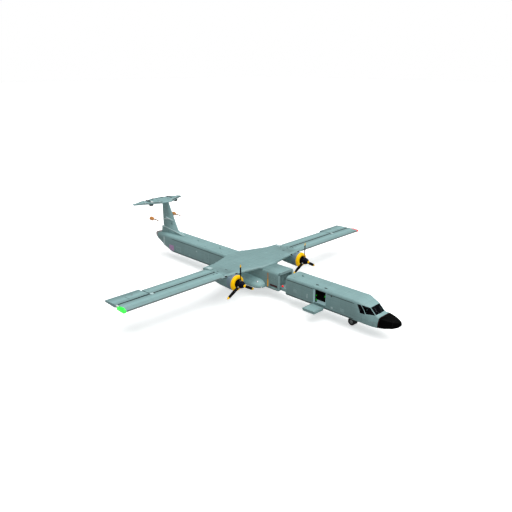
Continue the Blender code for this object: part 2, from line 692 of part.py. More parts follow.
foot = loft("fin_foot", [[(x, -half, roof_at(x) + GAP), (x, half, roof_at(x) + GAP), (x, half * 0.8, top),
                          (x, -half * 0.8, top)] for x, half, top in FOOT])
join(fin, foot)
rudder_rings = []
for z in RUDDER_Z:
    ring = [(FIN_REAR, -0.03, z)]
    for angle in range(-90, 91, 30):
        ring.append((RUDDER_HINGE_X + RUDDER_RADIUS * math.cos(math.radians(angle)),
                     RUDDER_RADIUS * math.sin(math.radians(angle)), z))
    ring.append((FIN_REAR, 0.03, z))
    rudder_rings.append(ring)
rudder = loft("rudder", rudder_rings, SKIN)
RUDDER_PIN = 0.03
for pin_name, pin_z in (("rudder_pin_low", (FIN_BASE_TOP + GAP, RUDDER_Z[0] + 0.1)),
                        ("rudder_pin_high", (RUDDER_Z[1] - 0.1, TAIL_UNDER - GAP))):
    join(rudder, cylinder(pin_name, RUDDER_PIN, (RUDDER_HINGE_X, 0, pin_z[0]), (RUDDER_HINGE_X, 0, pin_z[1]),
                          sides=12))

# Tailplane: swept, with drooping tips, a swept elevator on each side and fixed tips
TAIL_SWEEP = 0.66
TAIL_APEX = -15.45
TAIL_FLAT = 0.6         # the tips droop from this distance outwards
TAIL_TIP = 3.80
ELEVATOR_RADIUS = 0.06
ELEVATOR_PIN = 0.025
# y, hinge x, rear x
ELEVATOR = ((1.83, -17.45, -19.02), (3.34, -18.04, -18.66))
ELEVATOR_SWEEP = (ELEVATOR[0][1] - ELEVATOR[1][1]) / (ELEVATOR[1][0] - ELEVATOR[0][0])
ELEVATOR_DROOP = TAIL_DROP / (TAIL_TIP - TAIL_FLAT)
# The pin's slanted end reaches this much nearer to the fuselage than its centre does
PIN_LEAN = ELEVATOR_PIN * math.sin(math.atan(math.hypot(ELEVATOR_SWEEP, ELEVATOR_DROOP)))


def tail_front(y):
    return TAIL_APEX - TAIL_SWEEP * y


def tail_z(y):
    return TAIL_Z - ELEVATOR_DROOP * max(y - TAIL_FLAT, 0)


def elevator_hinge(y):
    return ELEVATOR[0][1] - ELEVATOR_SWEEP * (y - ELEVATOR[0][0])


def tail_ring(y, sign, x_rear, thick):
    return wing_ring(sign * y, tail_front(y), x_rear, tail_z(y) - thick / 2, tail_z(y) + thick / 2,
                     0.25, thick * 0.75, tail_z(y))


SLOT_IN = ELEVATOR[0][0] - 0.03     # side faces of the elevator's slot in the tailplane
SLOT_OUT = ELEVATOR[1][0] + 0.05
SLOT_EDGE = 0.001                   # the side faces slant by this much
SLOT_FRONT = ELEVATOR_RADIUS + 0.02
# y, rear x, thickness
tail_rows = ((TAIL_TIP, -18.52, 0.09), (SLOT_OUT + SLOT_EDGE, -18.64, 0.13),
             (SLOT_OUT, elevator_hinge(SLOT_OUT) + SLOT_FRONT, 0.13),
             (SLOT_IN, elevator_hinge(SLOT_IN) + SLOT_FRONT, 0.20),
             (SLOT_IN - SLOT_EDGE, -18.58, 0.20), (TAIL_FLAT, -18.62, TAIL_THICK))
rings = [tail_ring(y, 1, x_rear, thick) for y, x_rear, thick in tail_rows]
rings += [tail_ring(y, -1, x_rear, thick) for y, x_rear, thick in reversed(tail_rows)]
loft("tailplane", rings, SKIN)

for side, word in ((1, "port"), (-1, "starboard")):
    rings = []
    for y, hinge_x, x_rear in ELEVATOR:
        z = tail_z(y)
        ring = [(x_rear, side * y, z - 0.015)]
        for angle in range(-90, 91, 30):
            ring.append((hinge_x + ELEVATOR_RADIUS * math.cos(math.radians(angle)), side * y,
                         z + ELEVATOR_RADIUS * math.sin(math.radians(angle))))
        ring.append((x_rear, side * y, z + 0.015))
        rings.append(ring)
    elevator = loft(f"elevator_{word}", rings, SKIN)
    pin_y = (SLOT_IN + PIN_LEAN + GAP, ELEVATOR[0][0] + 0.1)
    join(elevator, cylinder(f"elevator_pin_{word}", ELEVATOR_PIN,
                            (elevator_hinge(pin_y[0]), side * pin_y[0], tail_z(pin_y[0])),
                            (elevator_hinge(pin_y[1]), side * pin_y[1], tail_z(pin_y[1])), sides=12))

# Orange probe pods, each on a thin strut from the widest line of the fin
STRUT_RADIUS = 0.03
STRUT_SIDES = 10
strut_share = (PROBE_Z - FIN_LOW[0]) / (FIN_HIGH[0] - FIN_LOW[0])
strut_front = FIN_LOW[1] + strut_share * (FIN_HIGH[1] - FIN_LOW[1])
STRUT_X = FIN_FIXED_REAR + FIN_WIDEST * (strut_front - FIN_FIXED_REAR)
for side, word in ((1, "port"), (-1, "starboard")):
    y = side * PROBE_Y
    pod = turned(f"probe_{word}", ((PROBE_X - 0.42, 0.10), (PROBE_X - 0.25, 0.24), (PROBE_X + 0.10, 0.26),
                                   (PROBE_X + 0.42, 0.10), (PROBE_X + 0.60, 0.03),
                                   (PROBE_X + 1.46, 0.025)), y, PROBE_Z, ORANGE, sides=16)
    rings = []
    for x, distance in ((STRUT_X, FIN_HALF + GAP), (PROBE_X + 0.25, PROBE_Y - 0.06)):
        ring = []
        for i in range(STRUT_SIDES):
            angle = 2 * math.pi * i / STRUT_SIDES
            ring.append((x + STRUT_RADIUS * math.cos(angle), side * distance,
                         PROBE_Z + STRUT_RADIUS * math.sin(angle)))
        rings.append(ring)
    join(pod, loft(f"probe_strut_{word}", rings))
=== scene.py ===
"""Looks of the parked transport plane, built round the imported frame.

Metres, in the frame's own axes: +X to the nose, +Y to port, +Z up, the ground at Z = 0.
"""

import json
import math

import bmesh
import bpy
from mathutils import Matrix, Vector
from mathutils.bvhtree import BVHTree


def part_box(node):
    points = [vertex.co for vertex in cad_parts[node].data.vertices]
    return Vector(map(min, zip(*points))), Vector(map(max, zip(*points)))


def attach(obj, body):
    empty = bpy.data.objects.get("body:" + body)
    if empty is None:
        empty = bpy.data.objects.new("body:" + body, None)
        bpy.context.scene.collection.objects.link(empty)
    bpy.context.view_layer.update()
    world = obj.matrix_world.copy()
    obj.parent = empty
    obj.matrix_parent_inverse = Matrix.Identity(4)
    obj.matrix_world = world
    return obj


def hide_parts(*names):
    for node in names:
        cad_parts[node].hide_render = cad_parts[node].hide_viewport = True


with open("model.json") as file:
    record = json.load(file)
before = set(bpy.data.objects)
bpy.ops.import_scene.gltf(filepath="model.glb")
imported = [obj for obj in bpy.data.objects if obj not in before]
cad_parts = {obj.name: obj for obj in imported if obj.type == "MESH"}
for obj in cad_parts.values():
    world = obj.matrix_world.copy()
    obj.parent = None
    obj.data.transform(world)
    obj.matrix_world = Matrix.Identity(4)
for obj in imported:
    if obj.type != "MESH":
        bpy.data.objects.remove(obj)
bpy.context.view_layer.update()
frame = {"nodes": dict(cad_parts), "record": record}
NODES = frame["nodes"]
BODY_OF = {}
for body_name, members in frame["record"]["behaviour"]["bodies"].items():
    for member in members:
        BODY_OF[member] = body_name
SIDES = ((1, "port"), (-1, "starboard"))

# The photograph's view
CAMERA_AT = (42.10, -41.69, 24.54)
CAMERA_LOOK = (-0.66724, 0.66724, -0.33106)
CAMERA_LENS = 38.6
CAMERA_SENSOR = 36.0


# Camera, floor and light

def make_camera():
    data = bpy.data.cameras.new("camera")
    data.lens = CAMERA_LENS
    data.sensor_width = CAMERA_SENSOR
    data.clip_end = 1000
    camera = bpy.data.objects.new("camera", data)
    bpy.context.scene.collection.objects.link(camera)
    camera.location = CAMERA_AT
    camera.rotation_euler = Vector(CAMERA_LOOK).to_track_quat("-Z", "Y").to_euler()
    bpy.context.scene.camera = camera


def make_world(seen, lit):
    """A white backdrop that lights the scene less than it shows."""
    world = bpy.data.worlds.new("studio")
    bpy.context.scene.world = world
    world.use_nodes = True
    nodes = world.node_tree.nodes
    links = world.node_tree.links
    shown = nodes["Background"]
    shown.inputs["Color"].default_value = (1, 1, 1, 1)
    shown.inputs["Strength"].default_value = seen
    glow = nodes.new("ShaderNodeBackground")
    glow.inputs["Color"].default_value = (0.93, 0.97, 1.0, 1)
    glow.inputs["Strength"].default_value = lit
    path = nodes.new("ShaderNodeLightPath")
    mix = nodes.new("ShaderNodeMixShader")
    links.new(path.outputs["Is Camera Ray"], mix.inputs["Fac"])
    links.new(glow.outputs["Background"], mix.inputs[1])
    links.new(shown.outputs["Background"], mix.inputs[2])
    links.new(mix.outputs["Shader"], nodes["World Output"].inputs["Surface"])


def make_sun(towards, strength, softness, shadow=True):
    data = bpy.data.lights.new("sun", "SUN")
    data.energy = strength
    data.angle = math.radians(softness)
    data.use_shadow = shadow
    sun = bpy.data.objects.new("sun", data)
    bpy.context.scene.collection.objects.link(sun)
    sun.rotation_euler = Vector(towards).to_track_quat("Z", "Y").to_euler()


def make_floor(size, shown, bounced):
    """A pale floor, which throws less light back than it shows."""
    bm = bmesh.new()
    bmesh.ops.create_grid(bm, x_segments=1, y_segments=1, size=size)
    mesh = bpy.data.meshes.new("floor")
    bm.to_mesh(mesh)
    bm.free()
    floor = bpy.data.objects.new("floor", mesh)
    bpy.context.scene.collection.objects.link(floor)
    made = bpy.data.materials.new("floor")
    made.use_nodes = True
    nodes = made.node_tree.nodes
    links = made.node_tree.links
    nodes.clear()
    output = nodes.new("ShaderNodeOutputMaterial")
    path = nodes.new("ShaderNodeLightPath")
    mix = nodes.new("ShaderNodeMixShader")
    for socket, albedo, glow in ((1, bounced, 0.0), (2, shown, 0.42)):
        shader = nodes.new("ShaderNodeBsdfPrincipled")
        shader.inputs["Base Color"].default_value = (albedo, albedo, albedo, 1)
        shader.inputs["Roughness"].default_value = 1.0
        shader.inputs["Specular IOR Level"].default_value = 0.0
        shader.inputs["Emission Color"].default_value = (1, 1, 1, 1)
        shader.inputs["Emission Strength"].default_value = glow
        links.new(shader.outputs["BSDF"], mix.inputs[socket])
    links.new(path.outputs["Is Camera Ray"], mix.inputs["Fac"])
    links.new(mix.outputs["Shader"], output.inputs["Surface"])
    mesh.materials.append(made)


bpy.context.scene.view_settings.view_transform = "Standard"
make_camera()
make_world(seen=1.0, lit=0.16)
make_sun(towards=(0.30, 0.10, 0.95), strength=1.9, softness=80)
make_sun(towards=(0.30, 0.02, 0.95), strength=1.45, softness=80, shadow=False)
make_floor(size=700, shown=0.97, bounced=0.42)


# Materials

SOCKETS = {"specular": "Specular IOR Level", "coat": "Coat Weight", "glow": "Emission Strength"}


class Shader:
    """A Principled material and short ways to add nodes to it."""

    def __init__(self, name, colour, roughness=0.5, metallic=0.0, **sockets):
        self.material = bpy.data.materials.new(name)
        self.material.use_nodes = True
        self.tree = self.material.node_tree
        self.shader = self.tree.nodes["Principled BSDF"]
        self.shader.inputs["Base Color"].default_value = (*colour, 1)
        self.shader.inputs["Roughness"].default_value = roughness
        self.shader.inputs["Metallic"].default_value = metallic
        for socket, value in sockets.items():
            self.shader.inputs[SOCKETS[socket]].default_value = value
        self.shader.inputs["Emission Color"].default_value = (*colour, 1)
        self.place = self.tree.nodes.new("ShaderNodeTexCoord").outputs["Object"]
        split = self.tree.nodes.new("ShaderNodeSeparateXYZ")
        self.link(self.place, split.inputs[0])
        self.x, self.y, self.z = split.outputs

    def link(self, out, into):
        self.tree.links.new(out, into)

    def feed(self, socket, value):
        if isinstance(value, (int, float)):
            socket.default_value = value
        else:
            self.link(value, socket)

    def math(self, operation, first, second=0.0, third=0.0, clamp=False):
        node = self.tree.nodes.new("ShaderNodeMath")
        node.operation = operation
        node.use_clamp = clamp
        for socket, value in zip(node.inputs, (first, second, third)):
            self.feed(socket, value)
        return node.outputs[0]

    def noise(self, scale, detail=3.0, stretch=(1, 1, 1), roughness=0.5):
        mapping = self.tree.nodes.new("ShaderNodeMapping")
        mapping.inputs["Scale"].default_value = stretch
        self.link(self.place, mapping.inputs["Vector"])
        node = self.tree.nodes.new("ShaderNodeTexNoise")
        node.inputs["Scale"].default_value = scale
        node.inputs["Detail"].default_value = detail
        node.inputs["Roughness"].default_value = roughness
        self.link(mapping.outputs[0], node.inputs["Vector"])
        return node.outputs["Fac"]

    def ramp(self, value, low, high, start=0.0, end=1.0):
        """Value's stretch low to high, mapped to start to end and held beyond."""
        node = self.tree.nodes.new("ShaderNodeMapRange")
        self.feed(node.inputs["Value"], value)
        node.inputs["From Min"].default_value = low
        node.inputs["From Max"].default_value = high
        node.inputs["To Min"].default_value = start
        node.inputs["To Max"].default_value = end
        return node.outputs[0]

    def mix(self, share, first, second):
        """Colours, or colour sockets, mixed by share."""
        node = self.tree.nodes.new("ShaderNodeMix")
        node.data_type = "RGBA"
        self.feed(node.inputs[0], share)
        for socket, value in ((node.inputs[6], first), (node.inputs[7], second)):
            if isinstance(value, tuple):
                socket.default_value = (*value, 1)
            else:
                self.link(value, socket)
        return node.outputs[2]

    def bump(self, height, distance, strength=1.0, after=None):
        node = self.tree.nodes.new("ShaderNodeBump")
        node.inputs["Strength"].default_value = strength
        node.inputs["Distance"].default_value = distance
        self.link(height, node.inputs["Height"])
        if after is not None:
            self.link(after, node.inputs["Normal"])
        self.link(node.outputs[0], self.shader.inputs["Normal"])
        return node.outputs[0]

    def colour(self, value):
        self.link(value, self.shader.inputs["Base Color"])

    def roughness(self, value):
        self.link(value, self.shader.inputs["Roughness"])


def scaled(colour, factor):
    return tuple(channel * factor for channel in colour)


LINE_WIDTH = 0.011       # a gap between two skin panels
RIVET_RADIUS = 0.007
RIVET_PITCH = 0.10
RIVET_ROW = 0.040        # from the panel's edge


# The spanwise bands on the wing panels are painted highlight and shade, light and dark in turn
SHADED_BAND_TURNS = 2 * math.pi / 1.66     # a pale spanwise band on each wing panel


def grid_distance(paint, value, pitch, offset):
    """Distance to the nearest of a row of planes."""
    cell = paint.math("DIVIDE", paint.math("SUBTRACT", value, offset), pitch)
    return paint.math("MULTIPLY", paint.math("ABSOLUTE", paint.math(
        "SUBTRACT", paint.math("FRACT", cell), 0.5)), pitch)


def skin_paint(name, colour, across, along, across_axis="x", streaks=(2.2, 2.2, 0.25), exhaust=None,
               bands=False, front=None):
    """Painted sheet metal with panel gaps, rivets, stains and slightly unlike panels.

    across and along are (pitch, offset) of the panel gaps. The first runs across across_axis and
    the second across the other direction of the surface. front is (x, colour) of another paint
    ahead of that x.
    """
    paint = Shader(name, colour, 0.45)
    normal = paint.tree.nodes.new("ShaderNodeNewGeometry").outputs["True Normal"]
    split = paint.tree.nodes.new("ShaderNodeSeparateXYZ")
    paint.link(normal, split.inputs[0])
    level = paint.math("GREATER_THAN", paint.math("ABSOLUTE", split.outputs[2]), 0.72)
    first = {"x": paint.x, "y": paint.y, "z": paint.z}[across_axis]
    if across_axis == "x":
        # y on level faces and z on upright ones
        second = paint.math("ADD", paint.math("MULTIPLY", paint.y, level),
                            paint.math("MULTIPLY", paint.z, paint.math("SUBTRACT", 1.0, level)))
    else:
        second = paint.x
    gap_1 = grid_distance(paint, first, *across)
    gap_2 = grid_distance(paint, second, *along)
    lines = paint.math("MAXIMUM", paint.ramp(gap_1, LINE_WIDTH * 0.4, LINE_WIDTH, 1, 0),
                       paint.ramp(gap_2, LINE_WIDTH * 0.4, LINE_WIDTH, 1, 0))
    rivets = None
    for gap, run in ((gap_1, second), (gap_2, first)):
        row = paint.math("SUBTRACT", gap, RIVET_ROW)
        step = grid_distance(paint, run, RIVET_PITCH, 0.0)
        far = paint.math("POWER", paint.math("ADD", paint.math("MULTIPLY", row, row),
                                             paint.math("MULTIPLY", step, step)), 0.5)
        dots = paint.ramp(far, RIVET_RADIUS * 0.7, RIVET_RADIUS, 1, 0)
        rivets = dots if rivets is None else paint.math("MAXIMUM", rivets, dots)
    cells = paint.tree.nodes.new("ShaderNodeCombineXYZ")
    for socket, value, (pitch, offset) in ((0, first, across), (1, second, along)):
        cell = paint.math("DIVIDE", paint.math("SUBTRACT", value, offset + pitch / 2), pitch)
        paint.link(paint.math("FLOOR", cell), cells.inputs[socket])
    white = paint.tree.nodes.new("ShaderNodeTexWhiteNoise")
    paint.link(cells.outputs[0], white.inputs["Vector"])

    base = paint.mix(white.outputs["Value"], scaled(colour, 0.955), scaled(colour, 1.045))
    base = paint.mix(paint.ramp(paint.noise(0.45, 4.0), 0.38, 0.66, 0.0, 0.35), base, scaled(colour, 0.86))
    stain = paint.ramp(paint.noise(1.6, 5.0, streaks, 0.6), 0.56, 0.78, 0.0, 0.28)
    base = paint.mix(stain, base, scaled(colour, 0.62))
    chalk = paint.ramp(paint.noise(6.0, 4.0), 0.55, 0.8, 0.0, 0.16)
    base = paint.mix(chalk, base, tuple(min(1, channel * 1.25 + 0.03) for channel in colour))
    if front is not None:
        base = paint.mix(paint.ramp(paint.x, front[0] - 0.005, front[0] + 0.005), base, front[1])
    if exhaust is not None:
        base = soot(paint, base, *exhaust)
    # Light and dark spanwise bands: painted highlight and shade, standing in for light across gently curved wing panels
    if bands:
        band_shading = paint.math("COSINE", paint.math("MULTIPLY", paint.math("SUBTRACT", paint.x, 0.92), SHADED_BAND_TURNS))
        base = paint.mix(paint.ramp(band_shading, 0.15, 1.0, 0, 0.55), base, tuple(min(1, c * 1.35) for c in colour))
        base = paint.mix(paint.ramp(band_shading, -0.15, -1.0, 0, 0.55), base, scaled(colour, 0.66))
    base = paint.mix(paint.math("MULTIPLY", lines, 0.55), base, scaled(colour, 0.30))
    base = paint.mix(paint.math("MULTIPLY", rivets, 0.35), base, scaled(colour, 0.55))
    paint.colour(base)
    paint.roughness(paint.ramp(paint.noise(3.0, 4.0), 0.3, 0.7, 0.36, 0.56))
    dents = paint.bump(paint.noise(1.1, 2.0), 0.006, 0.5)
    height = paint.math("SUBTRACT", paint.math("MULTIPLY", rivets, 0.35), lines)
    paint.bump(height, 0.004, 0.8, after=dents)
    return paint.material


def soot(paint, base, x_start, x_end, y_side, half):
    """A dark smear behind the exhaust on the upper wing and nacelle."""
    away = paint.math("ABSOLUTE", paint.math("SUBTRACT", paint.math("ABSOLUTE", paint.y), y_side))
    across = paint.ramp(away, half * 0.15, half, 1, 0)
    along = paint.ramp(paint.x, x_end, x_start, 0, 1)
    front = paint.ramp(paint.x, x_start, x_start + 0.12, 1, 0)
    patchy = paint.ramp(paint.noise(2.6, 4.0, (0.5, 3.0, 1.0)), 0.3, 0.7, 0.35, 1.0)
    amount = paint.math("MULTIPLY", paint.math("MULTIPLY", across, along),
                        paint.math("MULTIPLY", front, patchy))
    return paint.mix(paint.math("MULTIPLY", amount, 0.55), base, (0.055, 0.06, 0.06))


SKIN = (0.262, 0.425, 0.425)
# This blue-grey is paint on the stripe borders, and painted shade on the nacelles' fronts, the cowl rings' rear faces
# and the cowl flaps
BLUISH = (0.21, 0.30, 0.36)
ENGINE_Y = 5.16
ENGINE_Z = 2.69
TIP_FROM = 1.93          # from the hub's axis, where the blades turn yellow


def worn_paint(name, colour, roughness=0.45, metallic=0.0, dirt=0.5, scale=5.0, **sockets):
    """Plain paint, metal or plastic with dirt, fine scratches and uneven gloss."""
    paint = Shader(name, colour, roughness, metallic, **sockets)
    marks = paint.ramp(paint.noise(scale, 5.0), 0.42, 0.72, 0.0, dirt)
    base = paint.mix(marks, colour, scaled(colour, 0.55))
    fine = paint.ramp(paint.noise(scale * 7, 3.0, (1, 1, 0.3)), 0.60, 0.75, 0.0, 0.25)
    paint.colour(paint.mix(fine, base, tuple(min(1, c * 1.3 + 0.015) for c in colour)))
    paint.roughness(paint.ramp(paint.noise(scale * 1.7, 4.0), 0.3, 0.7, max(0.05, roughness - 0.1),
                               roughness + 0.12))
    paint.bump(paint.noise(scale * 9, 3.0), 0.002, 0.35)
    return paint.material


def rubber_paint():
    """Black rubber, greyer and duller where it is dusty."""
    paint = Shader("tyre_rubber", (0.014, 0.014, 0.014), 0.82)
    dust = paint.ramp(paint.noise(9.0, 5.0), 0.45, 0.75, 0.0, 0.5)
    paint.colour(paint.mix(dust, (0.013, 0.013, 0.0135), (0.045, 0.043, 0.040)))
    paint.bump(paint.noise(60.0, 2.0), 0.002, 0.5)
    paint.roughness(paint.ramp(paint.noise(14.0, 3.0), 0.3, 0.7, 0.72, 0.92))
    return paint.material


def glass_paint():
    """Dark glazing with a faint smear in its gloss."""
    paint = Shader("dark_glazing", (0.003, 0.003, 0.004), 0.07, specular=0.05)
    smear = paint.ramp(paint.noise(2.5, 4.0), 0.35, 0.7, 0.05, 0.16)
    paint.roughness(smear)
    tint = paint.ramp(paint.noise(1.4, 2.0), 0.35, 0.65)
    paint.colour(paint.mix(tint, (0.002, 0.002, 0.003), (0.006, 0.006, 0.008)))
    return paint.material


def blade_paint():
    """Black blades, yellow from a set distance from the engine's axis, the yellow glowing a little as painted light."""
    yellow = (0.95, 0.56, 0.02)
    black = (0.002, 0.002, 0.003)
    paint = Shader("blade_black", black, 0.5, specular=0.08)
    aside = paint.math("SUBTRACT", paint.math("ABSOLUTE", paint.y), ENGINE_Y)
    above = paint.math("SUBTRACT", paint.z, ENGINE_Z)
    far = paint.math("POWER", paint.math("ADD", paint.math("MULTIPLY", aside, aside),
                                         paint.math("MULTIPLY", above, above)), 0.5)
    tip = paint.ramp(far, TIP_FROM - 0.004, TIP_FROM + 0.004)
    worn = paint.ramp(paint.noise(5.0, 5.0), 0.42, 0.72, 0.0, 0.3)
    base = paint.mix(tip, black, yellow)
    paint.colour(paint.mix(worn, base, (0.02, 0.018, 0.012)))
    # The yellow tips glow though they are no lamp: painted light
    paint.shader.inputs["Emission Color"].default_value = (*yellow, 1)
    paint.link(paint.math("MULTIPLY", tip, 0.22), paint.shader.inputs["Emission Strength"])
    paint.roughness(paint.ramp(paint.noise(8.0, 4.0), 0.3, 0.7, 0.42, 0.62))
    paint.bump(paint.noise(45.0, 3.0), 0.002, 0.35)
    return paint.material


def lamp_paint(name, colour, glow, strength):
    """A coloured lens with light behind it, a little uneven."""
    paint = Shader(name, colour, 0.18, coat=0.6)
    cells = paint.noise(16.0, 2.0)
    paint.colour(paint.mix(paint.ramp(cells, 0.35, 0.65), colour, scaled(colour, 0.7)))
    paint.shader.inputs["Emission Color"].default_value = (*glow, 1)
    paint.shader.inputs["Emission Strength"].default_value = strength
    paint.bump(cells, 0.004, 0.3)
    return paint.material


PAINT = {
    "wing_root": skin_paint("wing_root_skin", scaled(SKIN, 0.88), (1.06, 0.53), (0.74, 0.22), "y", (0.3, 2.4, 2.4),
                            exhaust=(1.45, -1.9, 4.95, 0.75)),
    # The sponsons are painted lighter than the fuselage skin: painted light on the parts the wing shades
    "sponson": skin_paint("sponson_skin_painted_light", scaled(SKIN, 1.22), (0.93, 0.31), (0.61, 0.30), "x"),
    "fuselage": skin_paint("fuselage_skin", SKIN, (1.24, 0.31), (0.83, 0.43)),
    "wing": skin_paint("wing_skin", scaled(SKIN, 0.93), (1.06, 0.53), (0.74, 0.22), "y", (0.3, 2.4, 2.4), bands=True),
    "tail": skin_paint("tail_skin", SKIN, (0.66, 0.20), (0.72, 0.35), "z", (2.2, 2.2, 0.3)),
    "tailplane": skin_paint("tailplane_skin", SKIN, (0.61, 0.31), (0.80, 0.30), "y", (0.3, 2.4, 2.4)),
    # The nacelle's blue-grey front behind the cowl is painted shade
    "nacelle": skin_paint("nacelle_skin", scaled(SKIN, 0.97), (0.72, 0.14), (0.56, 0.12), "x",
                          (0.3, 2.4, 2.4), (1.40, -1.9, 5.05, 0.45), front=(1.90, BLUISH)),
    "light": worn_paint("light_skin", (0.33, 0.50, 0.50), 0.42, dirt=0.25),
    "pale": worn_paint("pale_skin", (0.50, 0.66, 0.66), 0.42, dirt=0.20),
    "dark": worn_paint("dark_trim", (0.055, 0.075, 0.075), 0.55, dirt=0.4),
    "bluish": worn_paint("bluish_skin", BLUISH, 0.45, dirt=0.3),
    # Near-black lining for the front cabin, the nose and the doorway's posts: painted shade that deepens the real shade
    # inside
    "lining": worn_paint("dark_lining_painted_shade", (0.003, 0.003, 0.003), 0.9, dirt=0.4, specular=0.05),
    "hold": worn_paint("hold_lining", (0.085, 0.130, 0.130), 0.75, dirt=0.4),
    "bay": worn_paint("bay_lining", (0.20, 0.31, 0.31), 0.6, dirt=0.3),
    "black": worn_paint("black_radome", (0.001, 0.001, 0.001), 0.55, dirt=0.3, scale=2.2, specular=0.05),
    # Near-black for soot, the engine and dark strips, and also painted shade in gaps and openings
    "soot": worn_paint("sooty_black_and_painted_shade", (0.006, 0.006, 0.007), 0.7, dirt=0.3, specular=0.15),
    "deep": worn_paint("deep_teal", (0.016, 0.040, 0.041), 0.5, dirt=0.3),
    "white": worn_paint("white_paint", (0.80, 0.80, 0.79), 0.45, dirt=0.08),
    "mauve": worn_paint("faded_mauve", (0.60, 0.36, 0.62), 0.5, dirt=0.6, scale=11.0),
    "glass": glass_paint(),
    # The cowl yellow glows though it is no lamp: painted light that brightens the rings and spinner noses
    "yellow": worn_paint("cowl_yellow_painted_light", (1.0, 0.56, 0.0), 0.42, dirt=0.08, scale=3.0, specular=0.15,
                         glow=0.28),
    "navy": worn_paint("spinner_navy", (0.003, 0.003, 0.012), 0.5, dirt=0.3, specular=0.08),
    # Glows a little though it is no lamp: painted light on the shaded jambs, sill and doorway floor
    "sill": worn_paint("sill_pale_painted_light", (0.42, 0.63, 0.65), 0.5, dirt=0.15, glow=0.22),
    # The stripe paints glow a little though they are no lamp: painted light that lifts them out of the side's shade
    "amber": worn_paint("stripe_amber_painted_light", (0.95, 0.45, 0.0), 0.5, dirt=0.10, glow=0.15),
    "brown": worn_paint("stripe_brown_painted_light", (0.52, 0.28, 0.11), 0.5, dirt=0.15, glow=0.10),
    "blade": blade_paint(),
    "rubber": rubber_paint(),
    "steel": worn_paint("gear_steel", (0.42, 0.44, 0.45), 0.42, 0.7, dirt=0.5, scale=11.0),
    "chrome": worn_paint("oleo_chrome", (0.75, 0.76, 0.78), 0.14, 1.0, dirt=0.15, scale=15.0),
    "rim": worn_paint("rim_grey", (0.30, 0.32, 0.32), 0.45, 0.4, dirt=0.6, scale=12.0),
    "orange": worn_paint("pod_orange", (0.86, 0.36, 0.10), 0.48, dirt=0.2, scale=4.0),
    "boom": worn_paint("boom_tan", (0.40, 0.27, 0.18), 0.5, dirt=0.2, scale=4.0),
    "cap": worn_paint("tail_cap_grey", (0.42, 0.38, 0.375), 0.55, dirt=0.3, scale=2.0),
    "maroon": worn_paint("maroon_trim", (0.070, 0.010, 0.012), 0.5, dirt=0.3),
    "green_lamp": lamp_paint("green_lens", (0.03, 0.85, 0.05), (0.05, 1.0, 0.08), 0.8),
    "red_lamp": lamp_paint("red_lens", (0.9, 0.02, 0.02), (1.0, 0.03, 0.03), 0.8),
    "white_lamp": lamp_paint("white_lens", (0.85, 0.87, 0.88), (1.0, 1.0, 1.0), 0.4),
    "cabin_green": lamp_paint("cabin_green", (0.01, 0.45, 0.01), (0.0, 0.8, 0.0), 0.5),
}


# Mesh building

def add_faces(bm, rings, index=0, closed=False, caps=True):
    """Quads between rings of equal point counts, with flat ends or joined end to end."""
    rows = [[bm.verts.new(point) for point in ring] for ring in rings]
    count = len(rows[0])
    made = []
    pairs = list(zip(rows, rows[1:]))
    if closed:
        pairs.append((rows[-1], rows[0]))
    for row, after in pairs:
        for i in range(count):
            j = (i + 1) % count
            made.append(bm.faces.new((row[i], row[j], after[j], after[i])))
    if caps and not closed:
        made.append(bm.faces.new(rows[0]))
        made.append(bm.faces.new(rows[-1]))
    for face in made:
        face.material_index = index
    return made


def add_box(bm, x, y, z, index=0, turn=None):
    """A box between pairs of limits, optionally turned about its centre."""
    made = bmesh.ops.create_cube(bm, size=1.0)["verts"]
    centre = Vector((sum(x) / 2, sum(y) / 2, sum(z) / 2))
    size = Vector((abs(x[1] - x[0]), abs(y[1] - y[0]), abs(z[1] - z[0])))
    place = Matrix.Translation(centre)
    if turn is not None:
        place = place @ turn
    bmesh.ops.transform(bm, matrix=place @ Matrix.Diagonal((*size, 1)), verts=made)
    for face in {face for vert in made for face in vert.link_faces}:
        face.material_index = index


def add_cylinder(bm, start, end, radius, end_radius=None, sides=24, index=0):
    start = Vector(start)
    end = Vector(end)
    made = bmesh.ops.create_cone(bm, cap_ends=True, segments=sides, radius1=radius,
                                 radius2=radius if end_radius is None else end_radius,
                                 depth=(end - start).length)["verts"]
    turn = Vector((0, 0, 1)).rotation_difference(end - start).to_matrix().to_4x4()
    bmesh.ops.transform(bm, matrix=Matrix.Translation((start + end) / 2) @ turn, verts=made)
    for face in {face for vert in made for face in vert.link_faces}:
        face.material_index = index


def circle(sides):
    return [(math.cos(2 * math.pi * i / sides), math.sin(2 * math.pi * i / sides)) for i in range(sides)]


def add_turned(bm, profile, place, index=0, sides=48, closed=False, bands=None):
    """A shape turned about place's X axis from (x, radius) points. bands are (x, index) limits."""
    rings = []
    for x, radius in profile:
        rings.append([place @ Vector((x, radius * c, radius * s)) for c, s in circle(sides)])
    made = add_faces(bm, rings, index, closed=closed)
    if bands:
        back = place.inverted()
        for face in made:
            x = (back @ face.calc_center_median()).x
            for limit, other in bands:
                if x >= limit:
                    face.material_index = other
    return made


def add_tube(bm, points, radius, sides=10, index=0):
    """A round tube along points, with flat ends."""
    points = [Vector(point) for point in points]
    rings = []
    for i, point in enumerate(points):
        before = points[max(i - 1, 0)]
        after = points[min(i + 1, len(points) - 1)]
        turn = Vector((0, 0, 1)).rotation_difference(after - before)
        rings.append([point + turn @ Vector((radius * c, radius * s, 0)) for c, s in circle(sides)])
    add_faces(bm, rings, index)


def add_plate(bm, corners, inward, outward, index=0, normal=None):
    """A plate on a flat outline, from a depth behind it to a height before it."""
    corners = [Vector(corner) for corner in corners]
    if normal is None:
        normal = (corners[1] - corners[0]).cross(corners[2] - corners[1])
    normal = Vector(normal).normalized()
    add_faces(bm, [[c - normal * inward for c in corners], [c + normal * outward for c in corners]], index)


